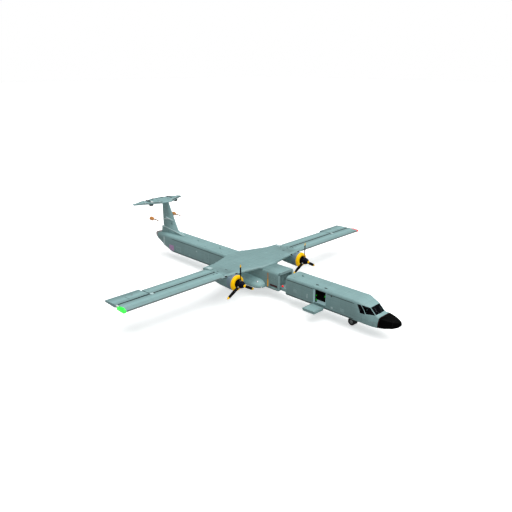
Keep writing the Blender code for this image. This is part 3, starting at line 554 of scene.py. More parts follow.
def make_piece(name, bm, paints, body, smooth=38, bevel=0.0, segments=2, replaces=()):
    """Turn a bmesh into a piece that rides on a body."""
    bmesh.ops.recalc_face_normals(bm, faces=bm.faces)
    mesh = bpy.data.meshes.new(name)
    bm.to_mesh(mesh)
    bm.free()
    for key in paints:
        mesh.materials.append(PAINT[key])
    made = bpy.data.objects.new(name, mesh)
    bpy.context.scene.collection.objects.link(made)
    mesh.shade_smooth()
    mesh.set_sharp_from_angle(angle=math.radians(smooth))
    if bevel:
        edge = made.modifiers.new("bevel", "BEVEL")
        edge.width = bevel
        edge.segments = segments
        edge.limit_method = "ANGLE"
        edge.angle_limit = math.radians(smooth)
        edge.harden_normals = True
    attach(made, body)
    if replaces:
        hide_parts(*replaces)
    return made


def dress(node, paints, smooth=38, bevel=0.0, sort=None):
    """A smoothed copy of a CAD node with its own paint. sort gives a face's paint number."""
    bm = bmesh.new()
    bm.from_mesh(NODES[node].data)
    bmesh.ops.remove_doubles(bm, verts=bm.verts, dist=0.0001)
    bmesh.ops.dissolve_limit(bm, angle_limit=math.radians(0.4), verts=bm.verts, edges=bm.edges)
    for face in bm.faces:
        face.material_index = sort(face.calc_center_median(), face.normal) if sort else 0
    return make_piece(node + "_skin", bm, paints, BODY_OF[node], smooth, bevel,
                      replaces=[node])


# Fuselage

ROOF_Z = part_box("fuselage_rear")[1].z
SIDE_Y = 1.25            # flat sides of the tube
INNER_Y = 0.97
FLOOR_Z = 1.48
CEILING_Z = 3.00


def inside(centre, normal):
    """1 for the faces that line the cabin or hold and 0 for the outer skin."""
    return 1 if abs(centre.y) < INNER_Y + 0.01 and FLOOR_Z - 0.01 < centre.z < CEILING_Z + 0.01 else 0


# The front cabin and the nose are lined near-black as painted shade; the bay and hold linings are teal
for node, lining in (("fuselage_front", "lining"), ("fuselage_centre", "bay"), ("fuselage_rear", "hold"),
                     ("fuselage_tail", "hold")):
    dress(node, ["fuselage", lining], smooth=50, sort=inside)
dress("fuselage_nose", ["fuselage", "lining"], smooth=50,
      sort=lambda centre, normal: 1 if centre.x < 16.9 and abs(centre.y) < 1.0 and
      1.3 < centre.z < 2.7 and normal.dot(centre - Vector((centre.x - 0.3, 0, 2.0))) < 0 else 0)
dress("hold_bulkhead", ["bay"])
dress("keel_bridge", ["light"], bevel=0.01)
dress("tail_cap", ["cap"], smooth=50)
dress("nose_cone", ["black"], smooth=60)
for side, word in SIDES:
    dress(f"sponson_{word}", ["sponson"], smooth=40)
for node in ("windscreen", "side_window_front_port", "side_window_front_starboard",
             "side_window_rear_port", "side_window_rear_starboard"):
    dress(node, ["glass"], smooth=40)


def skin_finder(node):
    """A function that finds the skin of a CAD node from a point along a direction."""
    mesh = NODES[node].data
    tree = BVHTree.FromPolygons([v.co for v in mesh.vertices], [list(p.vertices) for p in mesh.polygons])

    def find(origin, direction):
        point, normal, _, _ = tree.ray_cast(Vector(origin), Vector(direction).normalized())
        return point, normal
    return find


def add_ribbon(bm, track, width, height, index=0):
    """A raised strip along (point, normal) pairs on a surface."""
    rings = []
    for i, (point, normal) in enumerate(track):
        before = track[max(i - 1, 0)][0]
        after = track[min(i + 1, len(track) - 1)][0]
        across = (after - before).cross(normal).normalized() * width / 2
        low = point - normal * 0.004
        high = point + normal * height
        rings.append([low - across, low + across, high + across * 0.8, high - across * 0.8])
    add_faces(bm, rings, index)


# Strips and plates on the flat sides: x limits, z limits, thickness, paint, sides (0 for both)
STRIP_PAINTS = ["dark", "light", "pale", "amber", "brown", "maroon", "bluish", "mauve", "fuselage"]
SIDE_PLATES = (
    # The dark strips along the roof edge and the belly edge are painted shade, where the rounded edges turn away from
    # the light
    ((6.22, 9.80), (2.935, 2.985), 0.022, "dark", 0),
    ((11.58, 14.86), (2.935, 2.985), 0.022, "dark", 0),
    ((-13.80, -3.64), (2.935, 2.985), 0.022, "dark", 0),
    ((6.22, 14.86), (1.300, 1.375), 0.014, "dark", 0),
    ((-13.60, -3.64), (1.300, 1.375), 0.014, "dark", 0),
    ((3.41, 3.58), (1.40, 2.22), 0.010, "amber", 0),
    ((3.41, 3.58), (2.22, 2.98), 0.010, "brown", 0),
    ((3.36, 3.405), (1.42, 2.98), 0.008, "bluish", 0),
    ((3.585, 3.63), (1.42, 2.98), 0.008, "bluish", 0),
    ((3.80, 4.88), (1.60, 1.82), 0.012, "maroon", 0),
    ((4.05, 4.93), (1.40, 1.48), 0.060, "light", 0),
    ((9.02, 9.13), (1.70, 2.20), 0.008, "pale", 0),
    ((12.10, 12.28), (2.80, 2.90), 0.012, "dark", 0),
    ((12.15, 12.40), (1.56, 1.76), 0.008, "pale", 0),
    ((-8.95, -8.65), (2.42, 2.54), 0.008, "pale", 0),
    ((-13.00, -11.99), (1.64, 2.21), 0.006, "light", 0),
    ((-12.94, -12.05), (1.70, 2.13), 0.010, "fuselage", 0),
    ((-13.86, -13.49), (1.41, 2.12), 0.007, "mauve", 0),
    ((7.20, 7.62), (1.85, 2.20), 0.008, "light", 0),
    ((-5.30, -4.90), (1.80, 2.10), 0.008, "light", 0),
    ((-10.40, -10.10), (1.50, 1.75), 0.008, "light", 0),
    ((13.30, 13.75), (1.62, 1.95), 0.008, "light", 0),
    ((9.90, 11.50), (1.62, 2.88), 0.006, "light", 1),
    ((9.96, 11.44), (1.68, 2.82), 0.012, "fuselage", 1),
    ((10.60, 10.85), (2.20, 2.26), 0.030, "dark", 1),
    ((-7.30, -6.50), (1.55, 2.75), 0.006, "light", 0),
    ((-7.25, -6.55), (1.60, 2.70), 0.012, "fuselage", 0),
    ((-6.72, -6.62), (2.10, 2.14), 0.030, "dark", 0),
)
for side, word in SIDES:
    bm = bmesh.new()
    for x, z, thick, key, only in SIDE_PLATES:
        if only in (0, side):
            add_box(bm, x, (side * (SIDE_Y - 0.01), side * (SIDE_Y + thick)), z, STRIP_PAINTS.index(key))
    # Louvres above the maroon bar
    for row in range(4):
        for column in range(3):
            x = 3.98 + column * 0.24
            z = 2.20 + row * 0.17
            add_box(bm, (x, x + 0.10), (side * (SIDE_Y - 0.01), side * (SIDE_Y + 0.012)), (z, z + 0.045),
                    STRIP_PAINTS.index("light"))
    # The tail narrows, so its strip turns with it; then the rest of the faded patch
    turn = Matrix.Rotation(side * math.radians(-8), 4, "Z")
    add_box(bm, (-15.66, -15.38), (side * 1.19, side * 1.262), (1.80, 2.94), STRIP_PAINTS.index("pale"), turn)
    add_box(bm, (-14.47, -13.86), (side * 1.24, side * 1.257), (1.45, 2.12), STRIP_PAINTS.index("mauve"))
    make_piece(f"side_fittings_{word}", bm, STRIP_PAINTS, "airframe", bevel=0.003, segments=1)

# Doorway: jambs, sill, gutter, handrails and the lights inside
ENTRY_X = (9.91, 11.48)
ENTRY_Z = (1.50, 3.00)
bm = bmesh.new()
# The jambs, the sill and the floor just inside are in the glowing sill paint: painted light in the shaded doorway
for x, inward in ((ENTRY_X[0], 1), (ENTRY_X[1], -1)):
    add_box(bm, (x - inward * 0.012, x + inward * 0.005), (-0.965, -1.262), ENTRY_Z, 4)
add_box(bm, (ENTRY_X[0] - 0.03, ENTRY_X[1] + 0.03), (-1.24, -1.285), (ENTRY_Z[1] + 0.005, ENTRY_Z[1] + 0.04), 1)
add_box(bm, (ENTRY_X[0] + 0.02, ENTRY_X[1] - 0.02), (-0.86, -1.235), (1.478, 1.500), 4)
add_box(bm, (9.75, 11.64), (-0.36, -0.855), (1.478, 1.490), 4)
for step in range(9):
    x = ENTRY_X[0] + 0.14 + step * 0.16
    add_box(bm, (x, x + 0.03), (-0.92, -1.12), (1.498, 1.503), 0)
# A dark strip on the sill's outer edge: painted shade of the gap between the sill and the platform
add_box(bm, (ENTRY_X[0] + 0.02, ENTRY_X[1] - 0.02), (-1.14, -1.235), (1.490, 1.503), 1)
for x in (ENTRY_X[0] + 0.07, ENTRY_X[1] - 0.07):
    add_tube(bm, [(x, -0.93, 1.75), (x, -0.88, 1.80), (x, -0.88, 2.50), (x, -0.93, 2.55)], 0.014, index=2)
# Posts inside the opening in the near-black painted shade, with small green lamps: x limits, then each lamp's x, z,
# width, height
for x, lamps in (((9.925, 10.13), ((10.065, 2.90, 0.05, 0.05), (10.065, 2.18, 0.06, 0.11), (10.085, 1.70, 0.08, 0.16))),
                 ((11.12, 11.455), ((11.17, 2.36, 0.07, 0.14),))):
    add_box(bm, x, (-0.925, -0.960), (1.485 if len(lamps) > 1 else 2.20, 2.990), 5)
    for lamp_x, z, wide, high in lamps:
        add_box(bm, (lamp_x - wide / 2, lamp_x + wide / 2), (-0.950, -0.978), (z, z + high), 3)
make_piece("entry_frame", bm, ["light", "dark", "steel", "cabin_green", "sill", "lining"], "airframe",
           bevel=0.004, segments=1)

# Roof: aerials, hatch, clips over the doorway and tie-down rings
bm = bmesh.new()
for x, height, chord in ((7.60, 0.18, 0.30), (-5.60, 0.16, 0.26), (-9.80, 0.14, 0.24)):
    base = [(x, 0), (x - chord * 0.5, 0.022), (x - chord, 0), (x - chord * 0.5, -0.022)]
    tip = [(x - chord * 0.45, 0), (x - chord * 0.75, 0.010), (x - chord * 1.05, 0), (x - chord * 0.75, -0.010)]
    add_faces(bm, [[(px, py, ROOF_Z - 0.01) for px, py in base], [(px, py, ROOF_Z + height) for px, py in tip]], 2)
for x, y in ((9.97, -0.71), (11.15, -0.83)):
    add_box(bm, (x - 0.16, x + 0.16), (y - 0.04, y + 0.04), (ROOF_Z - 0.01, ROOF_Z + 0.05), 1)
    add_box(bm, (x - 0.05, x + 0.05), (y - 0.10, y + 0.10), (ROOF_Z - 0.01, ROOF_Z + 0.03), 1)
add_box(bm, (13.10, 13.90), (-0.34, 0.34), (ROOF_Z - 0.01, ROOF_Z + 0.006), 0)
add_box(bm, (13.16, 13.84), (-0.28, 0.28), (ROOF_Z - 0.01, ROOF_Z + 0.012), 2)
add_box(bm, (-11.60, -10.80), (-0.34, 0.34), (ROOF_Z - 0.01, ROOF_Z + 0.006), 0)
add_box(bm, (-11.54, -10.86), (-0.28, 0.28), (ROOF_Z - 0.01, ROOF_Z + 0.012), 2)
for x in (6.9, -4.6, -7.6, -12.6):
    for y in (-0.86, 0.86):
        add_tube(bm, [(x - 0.07, y, ROOF_Z - 0.01), (x - 0.05, y, ROOF_Z + 0.045), (x + 0.05, y, ROOF_Z + 0.045),
                      (x + 0.07, y, ROOF_Z - 0.01)], 0.010, sides=6, index=1)
make_piece("roof_fittings", bm, ["light", "dark", "fuselage"], "airframe", bevel=0.004, segments=1)


def add_dome(bm, place, radius, height, index, sides=20):
    profile = [(height * math.sin(math.radians(a)), max(radius * math.cos(math.radians(a)), 0.002))
               for a in (0, 20, 40, 60, 75, 88)]
    add_turned(bm, [(-0.02, radius)] + profile, place, index, sides)


UP = Matrix.Rotation(-math.pi / 2, 4, "Y")       # turns a shape's X axis to +Z
DOWN = Matrix.Rotation(math.pi / 2, 4, "Y")

# Beacons on the bridge in the open bay and below the belly
bm = bmesh.new()
for place, turn, radius in (((5.12, -0.60, 1.60), UP, 0.11), ((0.9, 0.0, 1.20), DOWN, 0.07)):
    at = Matrix.Translation(place) @ turn
    add_turned(bm, [(-0.02, radius * 1.4), (0.03, radius * 1.4), (0.045, radius * 1.1)], at, 0, 20)
    add_dome(bm, at @ Matrix.Translation((0.045, 0, 0)), radius, radius * 1.5, 1)
for y in (-0.50, 0.50):
    add_tube(bm, [(5.10, y, 1.59), (5.10, y, 1.66), (6.06, y, 1.66), (6.06, y, 1.59)], 0.018, index=2)
make_piece("beacons", bm, ["dark", "red_lamp", "steel"], "airframe")

# Window frames, wipers, air-data probes and panels round the cockpit
# columns: a pane's corners on the starboard side, as the CAD cuts them
PANES = (
    ((16.22, -1.185, 2.26), (17.02, -0.80, 2.25), (16.42, -0.79, 2.83), (15.60, -1.075, 2.98)),
    ((15.56, -1.24, 2.19), (16.15, -1.20, 2.20), (15.52, -1.09, 2.98), (15.20, -1.19, 2.98)),
)
SCREEN = ((17.03, -0.71, 2.26), (17.03, 0.71, 2.26), (16.42, 0.71, 2.86), (16.42, -0.71, 2.86))
find_nose = skin_finder("fuselage_nose")
bm = bmesh.new()


def frame_edge(bm, start, end, normal, width, index):
    """A strip laid on the nose beside a pane's edge."""
    track = []
    for step in range(9):
        point = Vector(start).lerp(Vector(end), step / 8)
        hit, across = find_nose(point + normal * 0.4, -normal)
        if hit is not None and (hit - point).length < 0.2:
            track.append((hit, normal))
    if len(track) > 1:
        add_ribbon(bm, track, width, 0.012, index)


for side, word in SIDES:
    for corners in PANES:
        outline = [Vector((x, -side * y, z)) for x, y, z in corners]
        centre = sum(outline, Vector()) / 4
        normal = (outline[2] - outline[0]).cross(outline[3] - outline[1]).normalized()
        if normal.y * side < 0:
            normal.negate()
        grown = [point + (point - centre).normalized() * 0.045 for point in outline]
        for start, end in zip(grown, grown[1:] + grown[:1]):
            frame_edge(bm, start, end, normal, 0.035, 0)
screen = [Vector(corner) for corner in SCREEN]
centre = sum(screen, Vector()) / 4
up_front = Vector((0.70, 0, 0.71))
grown = [point + (point - centre).normalized() * 0.045 for point in screen]
for start, end in zip(grown, grown[1:] + grown[:1]):
    frame_edge(bm, start, end, up_front, 0.035, 0)
for side in (-1, 1):
    foot = Vector((17.06, side * 0.12, 2.265))
    add_turned(bm, [(-0.02, 0.030), (0.03, 0.030), (0.04, 0.012)], Matrix.Translation(foot) @ UP, 1, 12)
    add_tube(bm, [foot + Vector((0.0, 0, 0.035)), foot + Vector((-0.10, side * 0.14, 0.13)),
                  foot + Vector((-0.28, side * 0.30, 0.315))], 0.010, sides=6, index=1)
    add_tube(bm, [foot + Vector((-0.16, side * 0.30, 0.20)), foot + Vector((-0.44, side * 0.24, 0.475))], 0.012,
             sides=6, index=1)
    # Air-data probes
    add_tube(bm, [(16.90, side * 1.14, 1.72), (16.92, side * 1.24, 1.70), (17.00, side * 1.25, 1.70),
                  (17.26, side * 1.25, 1.70)], 0.014, sides=8, index=2)
    add_box(bm, (16.55, 16.70), (side * 1.19, side * 1.225), (1.62, 1.72), 3)
    add_box(bm, (17.12, 17.34), (side * 1.10, side * 1.165), (1.40, 1.66), 3)
    add_tube(bm, [(16.30, side * 1.21, 1.95), (16.28, side * 1.30, 1.96), (16.16, side * 1.31, 1.96)], 0.010,
             sides=6, index=2)
make_piece("cockpit_fittings", bm, ["light", "dark", "steel", "light"], "airframe")

# Conductor strips and a collar on the nose cone
find_cone = skin_finder("nose_cone")
bm = bmesh.new()
for angle in (20, 62, 118, 160, 215, 325):
    out = Vector((0, math.cos(math.radians(angle)), math.sin(math.radians(angle))))
    track = []
    for step in range(10):
        x = 17.60 + step * 0.15
        hit, normal = find_cone(Vector((x, 0, 1.85)) + out * 2, -out)
        if hit is not None:
            track.append((hit, normal))
    add_ribbon(bm, track, 0.022, 0.006, 0)
for x, key in ((17.56, 1), (18.76, 0)):
    track = []
    for step in range(49):
        angle = math.radians(step * 7.5)
        out = Vector((0, math.cos(angle), math.sin(angle)))
        hit, normal = find_cone(Vector((x, 0, 1.80)) + out * 2, -out)
        track.append((hit, normal))
    add_ribbon(bm, track, 0.035, 0.005, key)
make_piece("nose_cone_strips", bm, ["soot", "maroon"], "airframe")

# Hold: ribs, floor tracks and tie-down rings
bm = bmesh.new()
for x in [-3.0 - 1.0 * i for i in range(11)]:
    for side in (-1, 1):
        add_box(bm, (x - 0.035, x + 0.035), (side * (INNER_Y - 0.04), side * (INNER_Y + 0.005)),
                (FLOOR_Z, CEILING_Z), 0)
    add_box(bm, (x - 0.035, x + 0.035), (-INNER_Y, INNER_Y), (CEILING_Z - 0.04, CEILING_Z + 0.005), 0)
for y in (-0.62, -0.22, 0.22, 0.62):
    add_box(bm, (-13.4, 4.45), (y - 0.03, y + 0.03), (FLOOR_Z - 0.005, FLOOR_Z + 0.012), 1)
    for i in range(17):
        x = -13.2 + i * 1.05
        add_tube(bm, [(x - 0.03, y, FLOOR_Z), (x - 0.02, y, FLOOR_Z + 0.04), (x + 0.02, y, FLOOR_Z + 0.04),
                      (x + 0.03, y, FLOOR_Z)], 0.006, sides=5, index=1)
make_piece("hold_fittings", bm, ["bay", "steel"], "airframe")

# Frame, stiffeners and latch on the bulkhead, and the bay's rim
bm = bmesh.new()
x = 4.59
for y in (-0.60, -0.20, 0.20, 0.60):
    add_box(bm, (x - 0.02, x + 0.02), (y - 0.03, y + 0.03), (FLOOR_Z + 0.01, CEILING_Z - 0.02), 0)
for z in (1.85, 2.60):
    add_box(bm, (x - 0.02, x + 0.03), (-INNER_Y + 0.02, INNER_Y - 0.02), (z - 0.03, z + 0.03), 0)
add_box(bm, (x, x + 0.06), (0.28, 0.34), (2.10, 2.34), 1)
for x in (5.00, 6.16):
    for side in (-1, 1):
        add_box(bm, (x - 0.03, x + 0.03), (side * 0.955, side * 1.255), (1.32, 2.94), 2)
    add_box(bm, (x - 0.03, x + 0.03), (-0.92, 0.92), (2.985, ROOF_Z + 0.004), 2)
make_piece("bay_frames", bm, ["bay", "dark", "light"], "airframe", bevel=0.004, segments=1)

# Entry platform: tread, rim and folded rails
dress("entry_door", ["fuselage"], bevel=0.012)
bm = bmesh.new()
PLATFORM_X = (9.96, 11.43)
PLATFORM_Y = (-1.50, -2.95)
add_box(bm, (10.06, 11.33), (-1.60, -2.86), (1.478, 1.484), 0)
for step in range(11):
    y = -1.66 - step * 0.115
    add_box(bm, (10.10, 11.29), (y, y - 0.03), (1.482, 1.489), 1)
for x in PLATFORM_X:
    add_box(bm, (x - 0.0, x + (0.04 if x < 10.5 else -0.04)), PLATFORM_Y, (1.19, 1.33), 1)
for y in (PLATFORM_Y[0] - 0.02, -1.86, -2.22, -2.58, PLATFORM_Y[1] + 0.04):
    add_box(bm, (9.98, 11.41), (y, y - 0.04), (1.19, 1.33), 1)
for x in (10.03, 11.36):
    add_tube(bm, [(x, -1.56, 1.48), (x, -1.60, 1.51), (x, -2.80, 1.51), (x, -2.86, 1.48)], 0.014, index=2)
make_piece("entry_door_fittings", bm, ["fuselage", "light", "steel"], "entry_door", bevel=0.004, segments=1)

# Cargo ramp: treads
dress("cargo_ramp", ["fuselage"], bevel=0.01)
bm = bmesh.new()
RAMP_TURN = Matrix.Rotation(math.atan(0.3258), 4, "Y")
for step in range(14):
    x = -14.25 - step * 0.20
    z = 1.30 + 0.243 + (-14.0 - x) * 0.3258
    add_box(bm, (x - 0.02, x + 0.02), (-0.74, 0.74), (z - 0.012, z + 0.018), 0, RAMP_TURN)
make_piece("cargo_ramp_treads", bm, ["dark"], "cargo_ramp")


# Wings

dress("wing_centre", ["wing_root"], smooth=40)
for side, word in SIDES:
    for node in ("wing_outer", "flap", "aileron"):
        dress(f"{node}_{word}", ["wing"], smooth=50)
    dress(f"tip_lamp_{word}", ["red_lamp" if side > 0 else "green_lamp"], bevel=0.02)
    find_wing = skin_finder(f"wing_outer_{word}")
    find_flap = skin_finder(f"flap_{word}")
    find_aileron = skin_finder(f"aileron_{word}")

    def top(find, x, y, lift=0.0):
        hit, normal = find((x, side * y, 6), (0, 0, -1))
        return hit.z + lift if hit is not None else 3.45

    # Near-black box and strip along the cove between the wing and its flaps, painted shade of the gap; fuel caps, tip
    # blocks and vents
    bm = bmesh.new()
    add_box(bm, (0.06, 0.119), (side * 6.00, side * 17.86), (3.13, top(find_wing, 0.16, 10) - 0.006), 4)
    add_ribbon(bm, [(Vector((0.19, side * y, top(find_wing, 0.19, y))), Vector((0, 0, 1)))
                    for y in (6.0, 9.0, 12.0, 15.0, 17.85)], 0.15, 0.006, 4)
    # Dark strips along the lower nose of the wing: painted shade under the leading edge
    for z, width in ((3.225, 0.11), (3.315, 0.10)):
        track = [find_wing((6, side * y, z), (-1, 0, 0)) for y in (6.4, 9.0, 12.0, 15.0, 17.85)]
        add_ribbon(bm, track, width, 0.006, 0)
    for x, y in ((0.95, 8.2), (0.95, 11.6), (0.95, 15.2)):
        z = top(find_wing, x, y)
        add_turned(bm, [(-0.01, 0.11), (0.006, 0.11), (0.012, 0.095)], Matrix.Translation((x, side * y, z)) @ UP, 1, 24)
    z = top(find_wing, 0.35, 14.2)
    add_box(bm, (0.14, 0.50), (side * 14.00, side * 14.34), (z - 0.02, z + 0.055), 2)
    add_box(bm, (0.22, 0.42), (side * 13.84, side * 14.00), (z - 0.02, z + 0.035), 0)
    z = top(find_wing, 0.34, 17.8)
    add_box(bm, (0.16, 0.46), (side * 17.93, side * 18.10), (z - 0.22, z - 0.01), 3)
    for x, y, length in ((0.52, 6.10, 0.22), (0.60, 6.60, 0.12)):
        z = top(find_wing, x, y)
        add_box(bm, (x, x + length), (side * (y - 0.05), side * (y + 0.05)), (z - 0.01, z + 0.02), 0)
    make_piece(f"wing_fittings_{word}", bm, ["dark", "light", "pale", "white", "soot"], "airframe",
               bevel=0.004, segments=1)

    # Bulged lens round the tip lamp
    bm = bmesh.new()
    made = bmesh.ops.create_uvsphere(bm, u_segments=32, v_segments=16, radius=1.0)["verts"]
    bmesh.ops.transform(bm, matrix=Matrix.Translation((1.10, side * 17.98, 3.25)) @
                        Matrix.Diagonal((0.60, 0.24, 0.25, 1)), verts=made)
    add_box(bm, (0.42, 0.56), (side * 17.94, side * 18.12), (3.20, 3.34), 1)
    make_piece(f"tip_lens_{word}", bm, ["red_lamp" if side > 0 else "green_lamp", "white"], "airframe")

    # Flap: stiffening ribs and the canoes under it
    bm = bmesh.new()
    for y in (6.6, 8.6, 10.6, 12.6):
        add_ribbon(bm, [(Vector((x, side * y, top(find_flap, x, y))), Vector((0, 0, 1)))
                        for x in (-0.10, -0.45, -0.80, -1.15, -1.38)], 0.035, 0.004, 1)
    for y in (7.4, 10.2, 13.0):
        rings = []
        for x, half, drop in ((-0.10, 0.02, 0.01), (-0.30, 0.06, 0.13), (-0.70, 0.075, 0.17), (-1.15, 0.05, 0.11),
                              (-1.44, 0.012, 0.02)):
            z = 3.20 if x > -0.5 else 3.24
            rings.append([(x, side * y - half, z), (x, side * y - half, z - drop * 0.6), (x, side * y, z - drop),
                          (x, side * y + half, z - drop * 0.6), (x, side * y + half, z)])
        add_faces(bm, rings, 2)
    make_piece(f"flap_fittings_{word}", bm, ["dark", "light", "fuselage"], f"flap_{word}", smooth=50)

    # Aileron: trim tab, its horn and discharge wicks
    bm = bmesh.new()
    add_ribbon(bm, [(Vector((-1.40, side * y, top(find_aileron, -1.40, y))), Vector((0, 0, 1)))
                    for y in (14.8, 15.6, 16.4)], 0.020, 0.005, 0)
    for y in (14.8, 16.4):
        add_ribbon(bm, [(Vector((x, side * y, top(find_aileron, x, y))), Vector((0, 0, 1)))
                        for x in (-1.40, -1.60, -1.80)], 0.020, 0.005, 0)
    add_tube(bm, [(-0.95, side * 15.6, top(find_aileron, -0.95, 15.6, 0.03)),
                  (-1.50, side * 15.6, top(find_aileron, -1.50, 15.6, 0.03))], 0.012, sides=6, index=1)
    add_box(bm, (-0.98, -0.88), (side * 15.56, side * 15.64), (top(find_aileron, -0.93, 15.6, -0.01),
                                                               top(find_aileron, -0.93, 15.6, 0.05)), 1)
    for y in (14.6, 15.4, 16.8, 17.4, 17.9):
        add_tube(bm, [(-1.80, side * y, 3.262), (-1.97, side * y, 3.262)], 0.006, 5, 0)
    add_ribbon(bm, [(Vector((x, side * 16.35, top(find_aileron, x, 16.35))), Vector((0, 0, 1)))
                    for x in (-0.12, -0.5, -1.0)], 0.05, 0.005, 0)
    for y, front in ((18.025, -0.10), (14.350, -1.20)):
        add_plate(bm, [(front, side * y, 3.10), (front, side * y, 3.425 if front > -1 else 3.36),
                       (-1.84, side * y, 3.35), (-1.84, side * y, 3.14)], 0.018, 0.018, 2)
    make_piece(f"aileron_fittings_{word}", bm, ["dark", "steel", "fuselage"], f"aileron_{word}")

# Centre wing: inlets in its nose beside the nacelles, each opening a near-black plate as painted shade, raised
# inspection plates, vents and the blocks behind the nacelles
find_centre = skin_finder("wing_centre")
bm = bmesh.new()
for side in (-1, 1):
    for x, y, length, key in ((-1.12, 5.50, 0.42, 0), (0.30, 4.60, 0.30, 0), (0.05, 5.60, 0.26, 0), (1.10, 3.20, 0.30, 1),
                              (-0.60, 2.60, 0.34, 1), (1.20, 1.90, 0.26, 1)):
        hit, normal = find_centre((x, side * y, 6), (0, 0, -1))
        add_box(bm, (x, x + length), (side * (y - 0.05), side * (y + 0.05)), (hit.z - 0.01, hit.z + 0.018), key)
    rings = []
    for x, low, high in ((-1.86, 3.20, 3.27), (-1.62, 3.22, 3.42), (-1.30, 3.28, 3.46), (-0.90, 3.34, 3.465)):
        rings.append([(x, side * 5.30, low), (x, side * 5.86, low), (x, side * 5.84, high), (x, side * 5.34, high)])
    add_faces(bm, rings, 2)
    for y in (4.42, 5.80):
        hit, normal = find_centre((6, side * y, 3.33), (-1, 0, 0))
        if hit is None:
            hit, normal = Vector((1.77, side * y, 3.31)), Vector((0.92, 0, 0.39))
        at = Matrix.Translation(hit) @ normal.to_track_quat("X", "Z").to_matrix().to_4x4()
        for depth, wide, high, key in ((0.014, 0.20, 0.085, 2), (0.020, 0.17, 0.065, 3)):
            add_plate(bm, [at @ Vector((0, -wide, -high)), at @ Vector((0, wide, -high)),
                           at @ Vector((0, wide, high)), at @ Vector((0, -wide, high))], 0.03, depth, key,
                      normal=normal)
make_piece("wing_centre_fittings", bm, ["dark", "light", "pale", "soot"], "airframe", bevel=0.004, segments=1)


# Engines

PROP_X = 3.48
for side, word in SIDES:
    y = side * ENGINE_Y
    hub = Vector((PROP_X, y, ENGINE_Z))
    dress(f"nacelle_{word}", ["nacelle"], smooth=40)
    # The cowl ring's rear faces take the blue-grey painted shade
    dress(f"cowl_ring_{word}", ["yellow", "bluish", "soot"], smooth=50, sort=lambda centre, normal, y=y: 2 if
          math.hypot(centre.y - y, centre.z - ENGINE_Z) < 0.49 else (1 if centre.x < 2.62 else 0))
    dress(f"propeller_{word}", ["blade", "yellow", "navy"], smooth=50,
          sort=lambda centre, normal, hub=hub: 1 if centre.x > PROP_X + 0.43 else
          (2 if (centre - hub).yz.length < 0.42 else 0))

    # Blade cuffs, and bolts round the spinner
    bm = bmesh.new()
    for number in range(3):
        turn = Matrix.Translation((PROP_X - 0.18, y, ENGINE_Z)) @ Matrix.Rotation(2 * math.pi * number / 3, 4, "X") @ UP
        add_turned(bm, [(0.34, 0.105), (0.44, 0.105), (0.50, 0.085)], turn, 1, 20)
    for step in range(12):
        angle = math.radians(step * 30 + 15)
        place = Matrix.Translation((PROP_X - 0.05, y, ENGINE_Z)) @ Matrix.Rotation(angle, 4, "X")
        at = place @ Matrix.Translation((0.02, 0, 0.385))
        add_turned(bm, [(-0.01, 0.014), (0.012, 0.014)], at @ UP, 1, 6)
    make_piece(f"propeller_fittings_{word}", bm, ["blade", "steel"], f"propeller_{word}")

    # Cylinders and baffles inside the cowl
    bm = bmesh.new()
    for number in range(9):
        turn = Matrix.Translation((2.70, y, ENGINE_Z)) @ Matrix.Rotation(2 * math.pi * number / 9, 4, "X") @ UP
        profile = [(0.19, 0.06)]
        for fin in range(7):
            x = 0.215 + fin * 0.033
            profile += [(x, 0.055), (x, 0.078), (x + 0.012, 0.078), (x + 0.012, 0.055)]
        add_turned(bm, profile + [(0.455, 0.04)], turn, 0, 12)
        add_tube(bm, [turn @ Vector((0.22, 0.02, 0.09)), turn @ Vector((0.42, 0.02, 0.09))], 0.012, 6, 1)
    add_turned(bm, [(2.55 - 2.70, 0.24), (2.88 - 2.70, 0.24), (2.96 - 2.70, 0.215)],
               Matrix.Translation((2.70, y, ENGINE_Z)), 0, 24)
    make_piece(f"engine_{word}", bm, ["soot", "steel"], "airframe", smooth=50)

    # Exhaust stack, cowl flaps and oil-cooler scoop
    find_nacelle = skin_finder(f"nacelle_{word}")
    bm = bmesh.new()
    stack = Matrix.Translation((1.60, y - 0.40, 3.10)) @ Matrix.Rotation(math.radians(-58), 4, "Z") \
        @ Matrix.Rotation(math.radians(-28), 4, "Y")
    add_turned(bm, [(-0.20, 0.115), (0.15, 0.115), (0.15, 0.095), (0.02, 0.090), (0.02, 0.003)], stack, 0, 20)
    # The cowl flaps and the scoop take the same blue-grey painted shade as the nacelle's front
    for step in range(20):
        angle = math.radians(step * 18 + 9)
        out = Vector((0, math.cos(angle), math.sin(angle)))
        hit, normal = find_nacelle(Vector((2.36, y, ENGINE_Z)) + out * 2, -out)
        if hit is None:
            continue
        at = Matrix.Translation(hit) @ out.to_track_quat("Z", "X").to_matrix().to_4x4()
        add_plate(bm, [at @ Vector(corner) for corner in ((-0.10, -0.09, 0), (0.10, -0.09, 0), (0.10, 0.09, 0),
                                                          (-0.10, 0.09, 0))], 0.02, 0.014, 1, normal=normal)
    rings = []
    for x, half, low, high in ((2.30, 0.20, 1.79, 2.02), (2.20, 0.22, 1.78, 2.04), (1.60, 0.20, 1.84, 2.05),
                               (1.00, 0.10, 1.92, 2.05)):
        rings.append([(x, y - half, high), (x, y - half, low + 0.05), (x, y - half * 0.7, low), (x, y + half * 0.7, low),
                      (x, y + half, low + 0.05), (x, y + half, high)])
    add_faces(bm, rings, 1)
    # A near-black plate in the scoop's mouth: painted shade of the opening
    add_box(bm, (2.285, 2.305), (y - 0.15, y + 0.15), (1.83, 1.96), 0)
    make_piece(f"nacelle_fittings_{word}", bm, ["soot", "bluish"], "airframe", smooth=50)


# Tail

